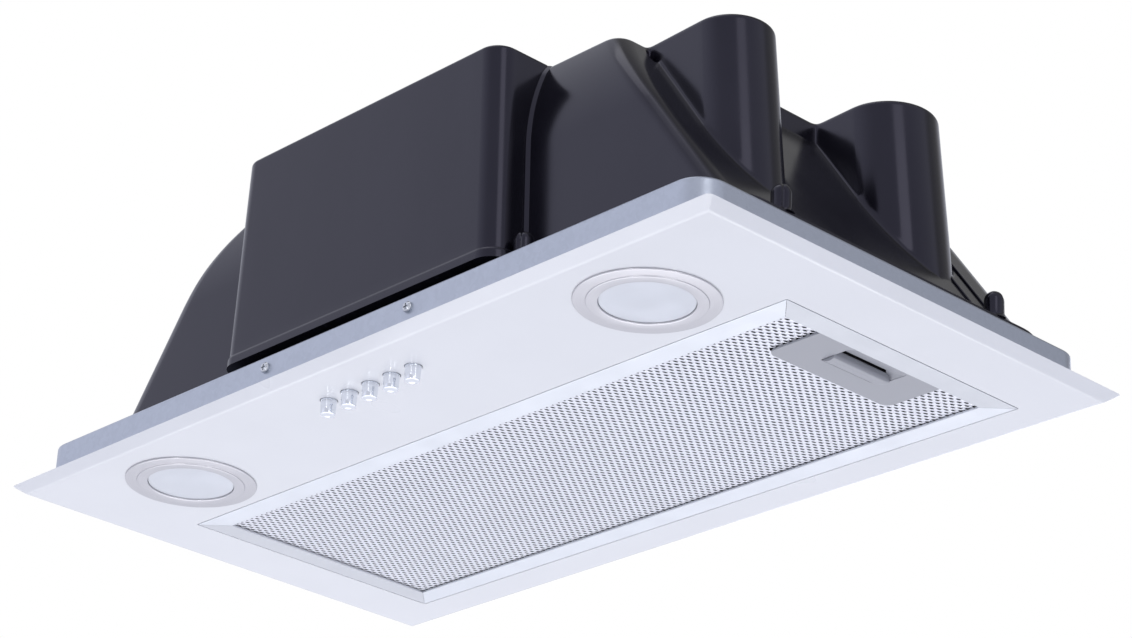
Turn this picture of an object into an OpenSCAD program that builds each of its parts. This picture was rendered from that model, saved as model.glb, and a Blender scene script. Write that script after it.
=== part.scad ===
// Built-in range hood, seen as it hangs: the panel faces down and the outlet faces up.
// X runs along the long side, -Y is the user's side, +Z is up.
// The origin is the middle of the cabinet cut-out, at the cabinet's underside.

/* [Fascia panel] */
// Width of the panel
panel_w = 525; // [515:1:560]
// Depth of the panel, front to back
panel_d = 290; // [284:1:320]
// Height of the bevelled rim
panel_drop = 4.5; // [4:0.1:8]
// How far the bevel runs inwards
bevel_run = 6.7; // [5:0.1:9]
// Thickness of the panel's sheet
panel_t = 1.2; // [0.8:0.1:1.6]
// Radius of the panel's corners, seen from below
panel_corner_r = 3; // [1:0.5:8]

/* [Mounting frame] */
// Width of the band that enters the cut-out
band_w = 494.6; // [490:0.2:500]
// How far the band stands in from the panel's front and back edges
band_in = 10.2; // [9:0.1:13]
// Height of the band above the cabinet's underside
band_h = 20.6; // [19:0.1:26]
// Thickness of the galvanised sheet
band_t = 1; // [0.8:0.1:1.5]
// Outer radius of the band's corners
band_r = 15; // [8:0.5:25]
// Width of the turned-in edge on the short sides
lip_side = 13; // [12:0.5:15]
// Width of the turned-in edge on the long sides
lip_front = 22; // [20:0.5:23]
// Radius of the four holes for the screws into the cabinet
cabinet_hole_r = 2.25; // [1.5:0.05:2.75]
// Distance of those holes from the band's front and back faces
cabinet_hole_in = 34.8; // [25:0.2:60]
// Height of the two front screws
front_screw_z = 13.6; // [9:0.1:14]
// Distance between the two front screws
front_screw_gap = 108.8; // [104:0.2:120]

/* [Grease filter] */
// Width of the filter cassette
filter_w = 440; // [430:1:444]
// Distance from the panel's front edge to the cassette
filter_front = 95.5; // [93:0.1:99]
// Distance from the panel's back edge to the cassette
filter_back = 28.2; // [26:0.1:34]
// Thickness of the cassette
filter_h = 9; // [8:0.5:12]
// Width of the cassette's edge profile
filter_rim = 13.1; // [11:0.1:14]
// Sheet of the edge profile
filter_t = 1; // [0.8:0.1:1.2]
// Gap between the cassette and the panel's opening
filter_gap = 0.6; // [0.5:0.1:1.2]
// Distance from the cassette's left edge to its hinge
hinge_in = 8; // [7:0.5:12]
// Radius of the hinge pins
hinge_r = 1.4; // [1.2:0.05:1.5]

/* [Latch] */
// Width of the latch plate, along the hood
latch_w = 34; // [33:0.5:40]
// Length of the latch plate, front to back
latch_d = 86.5; // [80:0.5:100]
// How far the latch plate's middle lies in front of the cassette's middle
latch_shift = 2.9; // [0:0.1:6]
// Length of the finger recess
recess_d = 40.5; // [34:0.5:46]
// Travel of the latch
latch_travel = 4; // [2:0.5:4]
// Width of the latch's tongue
tongue_w = 17; // [10:0.5:24]

/* [Lamps] */
// Distance of each lamp from the middle
lamp_x = 171.8; // [160:0.2:180]
// Distance of the lamps' middles from the band's front face
lamp_in = 43.2; // [42:0.2:45]
// Outer radius of the lamp's bezel
lamp_r = 35; // [33:0.2:38]
// Radius of the bezel's raised ring
lamp_step_r = 28.6; // [26:0.2:30]
// Radius of the lens
lens_r = 22.7; // [20:0.1:24]
// Height of the lamp's body above the panel
lamp_body_h = 17; // [12:0.5:20]

/* [Buttons] */
// Distance between neighbouring buttons
button_pitch = 16; // [14:0.5:17]
// Radius of a button at the panel
button_r = 4.2; // [4:0.05:5.2]
// Radius of a button at its end
button_end_r = 3.75; // [3:0.05:4]
// How far a button stands below the panel
button_out = 7.7; // [5:0.1:10]
// Travel of a button
button_travel = 3; // [1.5:0.5:4]
// Distance of the buttons from the band's front face
button_in = 21.8; // [20:0.2:26]
// Radial running clearance of a button in its guide
guide_gap = 0.08; // [0.05:0.01:0.1]

/* [Blower housing] */
// Height of the housing's top
housing_top = 140; // [136:1:150]
// Wall of the housing
housing_t = 2.5; // [2:0.1:3]
// Distance of the front and back walls from the band's faces
hopper_in = 21.8; // [21.8:0.2:24]
// Right end of the hopper at its foot
foot_right = 240.5; // [238:0.5:241]
// Left end of the hopper at its foot
foot_left = 226.5; // [224:0.5:230]
// Run of the right end for each millimetre of height
slope_right = 0.715; // [0.68:0.005:0.76]
// Run of the left end for each millimetre of height
slope_left = 0.716; // [0.6:0.002:0.76]
// Radius of the left shoulder
shoulder_r = 103; // [80:1:106]
// Radius of the front and back shoulders
front_shoulder_r = 114; // [90:1:120]
// Radius of the front ridge at the right end
ridge_r = 9; // [5:0.5:16]
// Radius of the back ridge at the right end
back_ridge_r = 18; // [8:0.5:19]
// Radius of the upright corners at the left end
corner_r = 18; // [8:0.5:24]
// Distance of the front tower's middle from the front wall
front_tower_in = 50; // [46:0.2:56]
// Radius of the front tower's nose at the top
front_tower_r = 20.8; // [17:0.1:23]
// Where the middle of the front tower's nose lies at the top
front_tower_x = 194.5; // [180:0.5:196]
// Distance of the back tower's middle from the back wall
back_tower_in = 58.6; // [54:0.2:62]
// Radius of the back tower's nose at the top
back_tower_r = 25.6; // [20:0.1:26]
// Where the middle of the back tower's nose lies at the top
back_tower_x = 190.5; // [180:0.5:196]
// How far the noses lean out by their feet
tower_lean = 10; // [6:0.5:14]
// Where the wall between the towers turns upright
bridge_x = 164; // [158:0.5:170]
// Height of the screw posts above the frame
post_h = 15; // [12:0.5:18]
// Radius of the screw posts
post_r = 5; // [4.5:0.1:5.2]

/* [Control box] */
// Width of the box at its foot
box_w = 207.5; // [190:0.5:208]
// Where the box's middle lies, right of the hood's middle
box_x = 6.2; // [4:0.1:8]
// How much narrower each side is at the top
box_taper = 4.4; // [2:0.1:8]
// How far the box's front face stands in from the band's front face
box_in = 0.8; // [0.8:0.1:3]
// Height of the box's foot above the frame
box_gap = 4; // [3:0.25:6]
// Wall of the box
box_t = 2.2; // [1.8:0.1:2.6]
// Radius of the box's upright corners
box_r = 11.5; // [6:0.5:12]
// Length of the cable gland's bore
gland_h = 22; // [18:0.5:26]
// Radius of the cable gland's bore
gland_r = 4; // [3:0.1:4.6]

/* [Outlet] */
// Where the outlet's middle lies, left of the hood's middle
outlet_x = 50; // [48:1:54]
// Outer radius of the outlet's spigot
spigot_r = 59.5; // [56:0.5:60]
// Height of the spigot above the housing
spigot_h = 45; // [30:1:60]
// Wall of the spigot
spigot_t = 2; // [1.5:0.1:2.5]
// Radius of the screw circle on the outlet's flange
collar_screw_r = 64.5; // [64:0.1:65.5]
// Height of the flap pin above the housing
flap_z = 8; // [6:0.5:12]
// Radius of the flap pin
flap_pin_r = 1.5; // [1.2:0.1:2]

/* [Blower] */
// Where the impeller's axis lies, right of the hood's middle
fan_x = 70; // [68:0.5:71]
// Radius of the impeller
fan_r = 64; // [58:0.5:64.5]
// Height of the impeller's blades
fan_h = 51.5; // [40:0.5:52]
// Number of blades
blades = 32; // [20:1:40]
// Radius of the scroll where it starts
scroll_r = 67; // [66.5:0.5:67.5]
// How much the scroll grows up to its outlet
scroll_grow = 11; // [6:0.5:11.5]
// Height of the scroll's floor
scroll_z = 60; // [58:0.5:62]
// Wall of the scroll
scroll_t = 2; // [1.5:0.1:2.2]
// Radius of the inlet ring's throat
inlet_r = 50; // [44:0.5:51]
// Radius of the motor
motor_r = 38; // [32:0.5:38.5]
// Radius of the motor's shaft
shaft_r = 4; // [3:0.5:4.5]

/* [Hidden] */
$fn = 48;
// Overshoot of cuts past the faces they open
eps = 1;
// Gap between seated pieces that don't touch face to face
fit_gap = 0.3;
// Radial clearance of shafts and pins in their bores
run_gap = 0.06;

// Panel
panel_slope = bevel_run / panel_drop;
panel_side_t = panel_t * sqrt(panel_drop * panel_drop + bevel_run * bevel_run) / panel_drop;
panel_floor = -panel_drop + panel_t;
filter_d = panel_d - filter_front - filter_back;
filter_y = (filter_front - filter_back) / 2;
opening_w = filter_w + 2 * filter_gap;
opening_d = filter_d + 2 * filter_gap;

// Frame
band_d = panel_d - 2 * band_in;
cabinet_hole_y = band_d / 2 - cabinet_hole_in;
flange_w = panel_w - 2 * (panel_side_t + panel_slope * band_t + fit_gap);
flange_d = panel_d - 2 * (panel_side_t + panel_slope * band_t + fit_gap);
cabinet_hole_x = (band_w + flange_w) / 4;
lip_z = band_h - band_t;
front_screw_x = -2.3;
front_screw_r = 1.7;
front_screw_head = 2.9;

// Filter
filter_z0 = -panel_drop + 0.1;
filter_z1 = filter_z0 + filter_h;
pack_gap = 0.3;
pack_in = 3;
window_x = filter_w / 2 - filter_rim;
hinge_x = -filter_w / 2 + hinge_in;
hinge_z = panel_floor + hinge_r + 0.5;
hinge_side = filter_d / 2;
bracket_t = 2;

// Latch
latch_y = filter_y - latch_shift;
latch_x1 = window_x;
latch_x0 = latch_x1 - latch_w;
latch_corner_r = 5;
recess_x1 = latch_x1 - 0.5;
slot_x1 = latch_x0 + 23.3;
slot_x0 = slot_x1 - latch_travel - 2.6;
web_t = 1.5;
web_x1 = slot_x1 - 0.8;
web_x0 = web_x1 - web_t;
lip_x0 = web_x1 - 8.4;
lip_drop = 1.6;
pocket_top = filter_z0 + 6.2;
tongue_z0 = pocket_top + 0.2;
tongue_z1 = filter_z1 - filter_t - fit_gap;

// Lamps and switches
lamp_y = band_d / 2 - lamp_in;
button_y = band_d / 2 - button_in;
lamp_hole_r = lamp_r - 4;
lamp_neck_r = lamp_hole_r - 0.5;
lamp_neck_t = 1.3;
lamp_lip = 1.8;
lens_gap = 0.2;
lens_flange_t = 1.2;
lens_flange_r = lens_r + 4.3;
button_x = 0.5;
button_hole_r = button_r + 0.3;
button_stem = 12.5;
switch_w = 5 * button_pitch + 10;
switch_d = 23;
switch_top = 16;

// Housing
hopper_y = band_d / 2 - hopper_in;
front_tower_y = hopper_y - front_tower_in;
back_tower_y = hopper_y - back_tower_in;
base_z = band_h;
flange_t = housing_t;
left_angle = atan(slope_left);
left_arc_z = housing_top - shoulder_r;
left_arc_x = -foot_left + slope_left * (left_arc_z + shoulder_r * sin(left_angle) - base_z)
    + shoulder_r * cos(left_angle);
front_arc_z = housing_top - 52;
loft_start = front_arc_z - 2;
arc_steps = 12;
corner_steps = 6;
tower_foot = base_z + 4;
tower_spread = 2;
tower_flare = 3;
bridge_z = housing_top - 24;
tower_back = fan_x + 66;
turret_r = collar_screw_r + 4.5;
post_x = foot_right - 0.5;
post_y = hopper_y - 37.5;
front_post_x = box_x + box_w / 2 + 6.5;
front_post_y = hopper_y + 7;
base_right = band_w / 2 - 2.3;
base_left = band_w / 2 - 8;
base_d = 2 * (hopper_y + 4);
housing_inner_top = housing_top - housing_t;
screw_spots = [
    [post_x, post_y], [post_x, -post_y], [-post_x, post_y], [-post_x, -post_y],
    [front_post_x, -front_post_y], [front_post_x, front_post_y]
];

// Control box
box_y = band_d / 2 - box_in;
box_z0 = band_h + box_gap;
box_top = housing_top + 1.5;
skirt_h = 5;
skirt_out = 0.8;
tab_x = 50;
tab_y = box_y - 46;
tab_t = 2;
board_w = 104;
board_h = 70;
board_z = 42;
board_t = 1.6;
board_off = 2.7;
board_x = -6;
gland_x = 70;
gland_y = box_y - 16;
gland_flange_r = 11;
gland_thread_r = 8;
gland_up = 5.5;

// Outlet
collar_t = 2.5;
flap_t = 1;
flap_r = spigot_r - spigot_t - 0.9;
knuckle_r = flap_pin_r + 1.5;
knuckle_w = 12;
knuckle_gap = 1;
flap_axis_z = housing_top + flap_z;

// Blower
scroll_from = 199;
scroll_to = 450;
scroll_steps = 30;
tongue_r = scroll_r - 0.8;
plenum_r = 62;
lug_r = 5;
lug_h = 12;
lugs = [300, 345, 28, 62];
blade_z0 = scroll_z + scroll_t + 5;
blade_z1 = blade_z0 + fan_h;
blade_in = fan_r - 12;
blade_t = 1.2;
cup_r = motor_r + 4;
cup_t = 1.5;
back_t = 1.5;
cup_floor = blade_z0 + 9;
hub_r = 9;
motor_z0 = cup_floor + back_t + 4;
bracket_z0 = housing_inner_top - 5.5;
bracket_plate_t = 2;
grommet_r = 6;
motor_screw_r = 2;
motor_screw_pitch = motor_r + 6;
shaft_low = blade_z0 - 3.5;

// A box between two corners
module block(lo, hi) {
    translate(lo) cube([hi[0] - lo[0], hi[1] - lo[1], hi[2] - lo[2]]);
}

// An upright cylinder between two heights
module rod(r, z0, z1) {
    translate([0, 0, z0]) cylinder(h = z1 - z0, r = r);
}

// An upright tube between two heights
module tube(r_out, r_in, z0, z1) {
    difference() {
        rod(r_out, z0, z1);
        rod(r_in, z0 - eps, z1 + eps);
    }
}

// A rectangle with round corners
module round_rect(w, d, r) {
    square([w - 2 * r, d], center = true);
    square([w, d - 2 * r], center = true);
    for (sx = [-1, 1], sy = [-1, 1])
        translate([sx * (w / 2 - r), sy * (d / 2 - r)]) circle(r = r);
}

// A plate with round corners between two heights
module plate(w, d, r, z0, z1) {
    translate([0, 0, z0]) linear_extrude(z1 - z0) round_rect(w, d, r);
}

// A pan-head screw with a cross recess, head up, its seat at the origin
module pan_screw(head_r, shaft_r, length) {
    head_h = head_r * 0.66;
    slot = head_r * 0.26;
    difference() {
        union() {
            cylinder(h = head_h * 0.5, r = head_r);
            translate([0, 0, head_h * 0.5]) cylinder(h = head_h * 0.5, r1 = head_r, r2 = head_r * 0.72);
            translate([0, 0, -length]) cylinder(h = length + head_h * 0.5, r = shaft_r);
        }
        for (a = [0, 90])
            rotate([0, 0, a]) translate([-head_r * 0.58, -slot / 2, head_h * 0.45])
                cube([head_r * 1.16, slot, head_h]);
    }
}

// A countersunk screw, its head flush with the origin's plane
module flush_screw(head_r, shaft_r, length) {
    slot = head_r * 0.26;
    difference() {
        union() {
            translate([0, 0, -head_r + shaft_r]) cylinder(h = head_r - shaft_r, r1 = shaft_r, r2 = head_r);
            translate([0, 0, -length]) cylinder(h = length - head_r + shaft_r + 0.01, r = shaft_r);
        }
        for (a = [0, 90])
            rotate([0, 0, a]) translate([-head_r * 0.58, -slot / 2, -0.6]) cube([head_r * 1.16, slot, eps + 0.6]);
    }
}

// Points of a quarter circle at one height
function quarter(cx, cy, r, a0, z) =
    [for (i = [0 : corner_steps]) [cx + r * cos(a0 + 90 * i / corner_steps),
                                   cy + r * sin(a0 + 90 * i / corner_steps), z]];

// A rectangle's outline with its own radius at the left and right corners, front and back
function outline(x0, x1, y0, y1, left_front, right_front, right_back, left_back, z) = concat(
    quarter(x0 + left_front, y0 + left_front, left_front, 180, z),
    quarter(x1 - right_front, y0 + right_front, right_front, 270, z),
    quarter(x1 - right_back, y1 - right_back, right_back, 0, z),
    quarter(x0 + left_back, y1 - left_back, left_back, 90, z));

// A solid through a stack of outlines that have the same number of points
module loft(rings) {
    n = len(rings[0]);
    m = len(rings);
    polyhedron(
        points = [for (ring = rings) each ring],
        faces = concat(
            [[for (i = [0 : n - 1]) i]],
            [[for (i = [n - 1 : -1 : 0]) (m - 1) * n + i]],
            [for (k = [0 : m - 2]) for (i = [0 : n - 1]) let (j = (i + 1) % n)
                each [[k * n + i, (k + 1) * n + i, (k + 1) * n + j], [k * n + i, (k + 1) * n + j, k * n + j]]]));
}

// Left end of the hopper at a height: a slope that turns over into the top in one arc
function left_x(z, grow) =
    z < left_arc_z + (shoulder_r + grow) * sin(left_angle)
        ? -foot_left + slope_left * (z - base_z) - grow / cos(left_angle)
        : left_arc_x - sqrt(max(0, pow(shoulder_r + grow, 2) - pow(z - left_arc_z, 2)));

// Right end of the hopper at a height: a plain slope
function right_x(z, grow) = foot_right - slope_right * (z - base_z) + grow * sqrt(1 + slope_right * slope_right);

// Front wall of the hopper at a height: upright, then leaning back in an arc
function front_y(z, grow) =
    z < front_arc_z
        ? hopper_y + grow
        : hopper_y - front_shoulder_r + sqrt(max(0, pow(front_shoulder_r + grow, 2) - pow(z - front_arc_z, 2)));

// Heights of the hopper's outlines, closer together towards the top
function levels(z0, z1) = concat([z0], [for (i = [0 : arc_steps]) loft_start + (z1 - loft_start) * sin(90 * i / arc_steps)]);

// One outline of the hopper: the sizes at height z, drawn at height at
function hopper_ring(z, grow, at) =
    outline(left_x(z, grow), right_x(z, grow), -front_y(z, grow), front_y(z, grow),
            corner_r + grow, ridge_r + grow, back_ridge_r + grow, corner_r + grow, at);

// The hopper as a solid, its skin moved outwards by grow; over is how far it runs straight on above z1
module hopper(grow, z0, z1, over = 0) {
    loft(concat([for (z = levels(z0, z1)) hopper_ring(z, grow, z)],
                over > 0 ? [hopper_ring(z1, grow, z1 + over)] : []));
}

// One tower as a solid: straight sides and a round nose that leans out towards its foot
module tower(x, y, radius, grow, z0, z1) {
    nose = [for (z = [z0, z1]) let (
        lean = (housing_top - z) / (housing_top - tower_foot),
        r = radius + lean * tower_spread + grow,
        cx = x + lean * (tower_lean - tower_spread))
        concat([[tower_back, tower_flare - r, z]],
               [for (i = [0 : 16]) [cx + r * sin(i * 180 / 16), -r * cos(i * 180 / 16), z]],
               [[tower_back, r - tower_flare, z]])];
    translate([0, y, 0]) loft(nose);
}

// Both towers, and the upright wall that joins them at the top
module towers(grow, z0, z1) {
    tower(front_tower_x, -front_tower_y, front_tower_r, grow, z0, z1);
    tower(back_tower_x, back_tower_y, back_tower_r, grow, z0, z1);
    block([tower_back, -front_tower_y, bridge_z + grow], [bridge_x + grow, back_tower_y, z1]);
}

module fascia_prism(top, bottom, shift) {
    function half(size, z) = size / 2 - shift + panel_slope * z;
    intersection() {
        rotate([90, 0, 0]) linear_extrude(panel_d + 2 * panel_drop, center = true)
            polygon([[-half(panel_w, top), top], [-half(panel_w, bottom), bottom],
                     [half(panel_w, bottom), bottom], [half(panel_w, top), top]]);
        rotate([90, 0, 90]) linear_extrude(panel_w + 2 * panel_drop, center = true)
            polygon([[-half(panel_d, top), top], [-half(panel_d, bottom), bottom],
                     [half(panel_d, bottom), bottom], [half(panel_d, top), top]]);
    }
}

module fascia_panel() {
    color([0.9, 0.91, 0.94]) difference() {
        intersection() {
            fascia_prism(0, -panel_drop, 0);
            plate(panel_w, panel_d, panel_corner_r, -panel_drop, 0);
        }
        fascia_prism(eps, panel_floor, panel_side_t);
        translate([0, filter_y, -panel_drop - eps])
            linear_extrude(panel_t + 2 * eps) square([opening_w, opening_d], center = true);
        for (s = [-1, 1]) translate([s * lamp_x, -lamp_y, 0]) rod(lamp_hole_r, -panel_drop - eps, eps);
        for (i = [-2 : 2]) translate([button_x + i * button_pitch, -button_y, 0])
            rod(button_hole_r, -panel_drop - eps, eps);
    }
}

module mounting_frame() {
    color([0.6, 0.65, 0.7]) difference() {
        union() {
            plate(band_w, band_d, band_r, panel_floor, band_h);
            plate(flange_w, flange_d, band_r, -band_t, 0);
        }
        plate(band_w - 2 * band_t, band_d - 2 * band_t, band_r - band_t, panel_floor - eps, lip_z);
        translate([0, 0, lip_z - eps]) linear_extrude(band_t + 2 * eps)
            square([band_w - 2 * (band_t + lip_side), band_d - 2 * lip_front], center = true);
        for (sx = [-1, 1], sy = [-1, 1]) translate([sx * cabinet_hole_x, sy * cabinet_hole_y, 0])
            rod(cabinet_hole_r, -band_t - eps, eps);
        for (p = screw_spots) translate([p[0], p[1], 0]) rod(1.8, lip_z - eps, band_h + eps);
        for (s = [-1, 1]) translate([front_screw_x + s * front_screw_gap / 2, -band_d / 2 - eps, front_screw_z])
            rotate([-90, 0, 0]) cylinder(h = band_t + 2 * eps, r = front_screw_r + 0.2);
    }
}

module fascia_brackets() {
    bracket_w = 14;
    y1 = band_d / 2 - band_t;
    color([0.62, 0.66, 0.7]) for (sx = [-1, 1], sy = [-1, 1])
        translate([sx * (lamp_x - 50), 0, 0]) scale([1, sy, 1]) {
            block([-bracket_w / 2, y1 - 9, panel_floor], [bracket_w / 2, y1, panel_floor + band_t]);
            block([-bracket_w / 2, y1 - band_t, panel_floor], [bracket_w / 2, y1, panel_floor + 14]);
        }
}

module frame_screws() {
    color([0.8, 0.8, 0.82]) for (s = [-1, 1])
        translate([front_screw_x + s * front_screw_gap / 2, -band_d / 2, front_screw_z])
            rotate([90, 0, 0]) pan_screw(front_screw_head, front_screw_r, 5);
}

module switch_bracket() {
    y0 = -band_d / 2 + band_t;
    x0 = front_screw_x - front_screw_gap / 2 - 7;
    x1 = front_screw_x + front_screw_gap / 2 + 7;
    color([0.62, 0.66, 0.7]) difference() {
        union() {
            block([x0, y0, panel_floor + 2], [x1, y0 + band_t, switch_top + band_t]);
            block([x0, y0, switch_top], [x1, -button_y + switch_d / 2, switch_top + band_t]);
        }
        for (s = [-1, 1]) translate([front_screw_x + s * front_screw_gap / 2, y0 - eps, front_screw_z])
            rotate([-90, 0, 0]) cylinder(h = band_t + 2 * eps, r = front_screw_r + 0.2);
    }
}

module switch_module() {
    color([0.12, 0.12, 0.13]) difference() {
        translate([button_x, -button_y, 0]) plate(switch_w, switch_d, 2, panel_floor, switch_top);
        for (i = [-2 : 2]) translate([button_x + i * button_pitch, -button_y, 0])
            rod(button_r + guide_gap, panel_floor - eps, -panel_drop + button_stem + button_travel + 1);
    }
}

// One push button: a tapered cap below the panel and a stem in its guide
module push_button(i) {
    color([0.85, 0.87, 0.9]) translate([button_x + i * button_pitch, -button_y, -panel_drop]) {
        rod(button_r, 0, button_stem);
        translate([0, 0, -button_out]) cylinder(h = button_out, r1 = button_end_r, r2 = button_r);
    }
}

module button_1() { push_button(-2); }
module button_2() { push_button(-1); }
module button_3() { push_button(0); }
module button_4() { push_button(1); }
module button_5() { push_button(2); }

// Ring of a lamp: a flange under the panel, a raised inner ring and a neck through the panel
module lamp_bezel(side) {
    z = -panel_drop;
    bore = lens_r + lens_gap;
    color([0.75, 0.76, 0.78]) translate([side * lamp_x, -lamp_y, 0]) rotate_extrude()
        polygon([[bore, z + 0.6], [bore, z - lamp_lip + 0.5], [bore + 0.7, z - lamp_lip],
                 [lamp_step_r - 0.7, z - lamp_lip], [lamp_step_r, z - lamp_lip + 0.7],
                 [lamp_r - 1, z - lamp_lip + 0.7], [lamp_r, z - 0.3], [lamp_r, z],
                 [lamp_neck_r, z], [lamp_neck_r, panel_floor + 2.3],
                 [lamp_neck_r - lamp_neck_t, panel_floor + 2.3], [lamp_neck_r - lamp_neck_t, z + 0.6]]);
}

module lamp_bezel_left() { lamp_bezel(-1); }
module lamp_bezel_right() { lamp_bezel(1); }

// Lens of a lamp: a shallow face in the bezel's bore and a flange on its ledge
module lamp_lens(side) {
    z = -panel_drop;
    color([0.85, 0.92, 1]) translate([side * lamp_x, -lamp_y, 0]) {
        rod(lens_r, z - lamp_lip + 0.8, z + 0.6);
        rod(lens_flange_r, z + 0.6, z + 0.6 + lens_flange_t);
    }
}

module lamp_lens_left() { lamp_lens(-1); }
module lamp_lens_right() { lamp_lens(1); }

module lamp_body(side) {
    r = lamp_neck_r - lamp_neck_t - fit_gap;
    z0 = -panel_drop + 0.6 + lens_flange_t;
    color([0.2, 0.2, 0.21]) translate([side * lamp_x, -lamp_y, 0]) difference() {
        rod(r, z0, panel_floor + lamp_body_h);
        rod(r - 3, z0 - eps, panel_floor + lamp_body_h - 8);
    }
}

module lamp_body_left() { lamp_body(-1); }
module lamp_body_right() { lamp_body(1); }

// Two leaf springs that press the panel from above, with their roots against the lamp's body
module lamp_clips(side) {
    r = lamp_neck_r - lamp_neck_t - fit_gap;
    z = panel_floor;
    color([0.7, 0.71, 0.73]) translate([side * lamp_x, -lamp_y, 0]) for (a = [0, 180])
        rotate([0, 0, a]) rotate([90, 0, 0]) linear_extrude(8, center = true)
            polygon([[r, z + 11], [r, z + 4.6], [lamp_r + 0.5, z], [lamp_r + 4.5, z], [lamp_r + 4.5, z + 0.8],
                     [lamp_r + 1, z + 0.9], [r + 1.2, z + 5.2], [r + 0.9, z + 11]]);
}

module lamp_clips_left() { lamp_clips(-1); }
module lamp_clips_right() { lamp_clips(1); }

module filter_frame() {
    color([0.8, 0.81, 0.83]) difference() {
        translate([-filter_w / 2, filter_y - filter_d / 2, filter_z0]) cube([filter_w, filter_d, filter_h]);
        translate([-window_x, filter_y - filter_d / 2 + filter_rim, filter_z0 - eps])
            cube([2 * window_x, filter_d - 2 * filter_rim, filter_h + 2 * eps]);
        translate([-filter_w / 2 + filter_t, filter_y - filter_d / 2 + filter_t, filter_z0 + filter_t])
            cube([filter_w - 2 * filter_t, filter_d - 2 * filter_t, filter_h - 2 * filter_t]);
        block([filter_w / 2 - filter_t - eps, latch_y - tongue_w / 2 - fit_gap, tongue_z0 - fit_gap],
              [filter_w / 2 + eps, latch_y + tongue_w / 2 + fit_gap, filter_z1 - filter_t]);
        translate([hinge_x, filter_y - filter_d / 2 - eps, hinge_z])
            rotate([-90, 0, 0]) cylinder(h = filter_d + 2 * eps, r = hinge_r + run_gap);
    }
}

module filter_mesh() {
    color([0.84, 0.85, 0.87]) difference() {
        block([-filter_w / 2 + pack_in, filter_y - filter_d / 2 + pack_in, filter_z0 + filter_t + pack_gap],
              [filter_w / 2 - pack_in, filter_y + filter_d / 2 - pack_in, filter_z1 - filter_t - pack_gap]);
        block([latch_x0 - fit_gap, latch_y - latch_d / 2 - fit_gap, filter_z0 - eps],
              [filter_w / 2, latch_y + latch_d / 2 + fit_gap, filter_z1 + eps]);
    }
}

module filter_pins() {
    color([0.75, 0.76, 0.78]) translate([hinge_x, filter_y, hinge_z]) for (s = [-1, 1]) scale([1, s, 1]) {
        rotate([-90, 0, 0]) translate([0, 0, hinge_side - filter_t - 1]) cylinder(h = filter_t + 5.5, r = hinge_r);
        rotate([-90, 0, 0]) translate([0, 0, hinge_side - filter_t - 1]) cylinder(h = 1, r = hinge_r + 0.45);
    }
}

module hinge_brackets() {
    y0 = opening_d / 2 + 0.5;
    color([0.62, 0.66, 0.7]) translate([hinge_x, filter_y, 0]) for (s = [-1, 1]) scale([1, s, 1]) difference() {
        union() {
            block([-5, y0, panel_floor], [5, y0 + bracket_t, hinge_z + hinge_r + 2]);
            block([-5, y0, panel_floor], [5, y0 + 9, panel_floor + 0.3]);
        }
        translate([0, y0 - eps, hinge_z]) rotate([-90, 0, 0])
            cylinder(h = bracket_t + 2 * eps, r = hinge_r + run_gap);
    }
}

module latch_plate() {
    z0 = filter_z0;
    z1 = filter_z0 + filter_t + 0.2;
    y0 = latch_y - recess_d / 2;
    y1 = latch_y + recess_d / 2;
    color([0.68, 0.68, 0.7]) difference() {
        union() {
            translate([0, 0, z0]) linear_extrude(z1 - z0) union() {
                translate([(latch_x0 + latch_x1) / 2, latch_y]) round_rect(latch_w, latch_d, latch_corner_r);
                translate([latch_x1 - 2 * latch_corner_r, latch_y - latch_d / 2])
                    square([2 * latch_corner_r, latch_d]);
            }
            block([slot_x0 - 1.2, y0 - 1.3, z0], [latch_x1, y1 + 1.3, pocket_top]);
            block([latch_x1 - eps, y0 - 6, z0 + filter_t + fit_gap], [latch_x1 + 7, y1 + 6, pocket_top]);
        }
        translate([0, y1, 0]) rotate([90, 0, 0]) linear_extrude(recess_d)
            polygon([[slot_x0, z0 - eps], [recess_x1, z0 - eps], [recess_x1, z0], [slot_x1 + 2, pocket_top - 1.6],
                     [slot_x1, pocket_top - 1.2], [slot_x1, pocket_top + eps], [slot_x0, pocket_top + eps]]);
    }
}

module latch_slider() {
    z = filter_z0 - 0.15;
    y0 = latch_y - recess_d / 2 + fit_gap;
    y1 = latch_y + recess_d / 2 - fit_gap;
    color([0.66, 0.66, 0.68]) union() {
        translate([0, y1, 0]) rotate([90, 0, 0]) linear_extrude(y1 - y0)
            polygon([[lip_x0, z - 0.1], [lip_x0 + 0.6, z - 0.8], [lip_x0 + 3, z - lip_drop + 0.15],
                     [lip_x0 + 6, z - lip_drop], [web_x1 - 0.7, z - lip_drop + 0.5], [web_x1, z - 0.4],
                     [web_x1, tongue_z0 + 0.1], [web_x0, tongue_z0 + 0.1], [web_x0, z], [lip_x0, z]]);
        block([web_x0 - 2, latch_y - tongue_w / 2, tongue_z0], [filter_w / 2, latch_y + tongue_w / 2, tongue_z1]);
    }
}

// A screw post with a round top and a groove down its outer side
module post(x, y) {
    translate([x, y, 0]) difference() {
        union() {
            rod(post_r, base_z, base_z + post_h - post_r);
            translate([0, 0, base_z + post_h - post_r]) sphere(r = post_r);
        }
        rod(1.6, base_z - eps, base_z + post_h - post_r);
        translate([sign(x) * post_r, 0, base_z + flange_t]) rotate([0, 0, 45 * sign(x) * sign(y)])
            translate([-1, -0.7, 0]) cube([2, 1.4, post_h]);
    }
}

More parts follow.
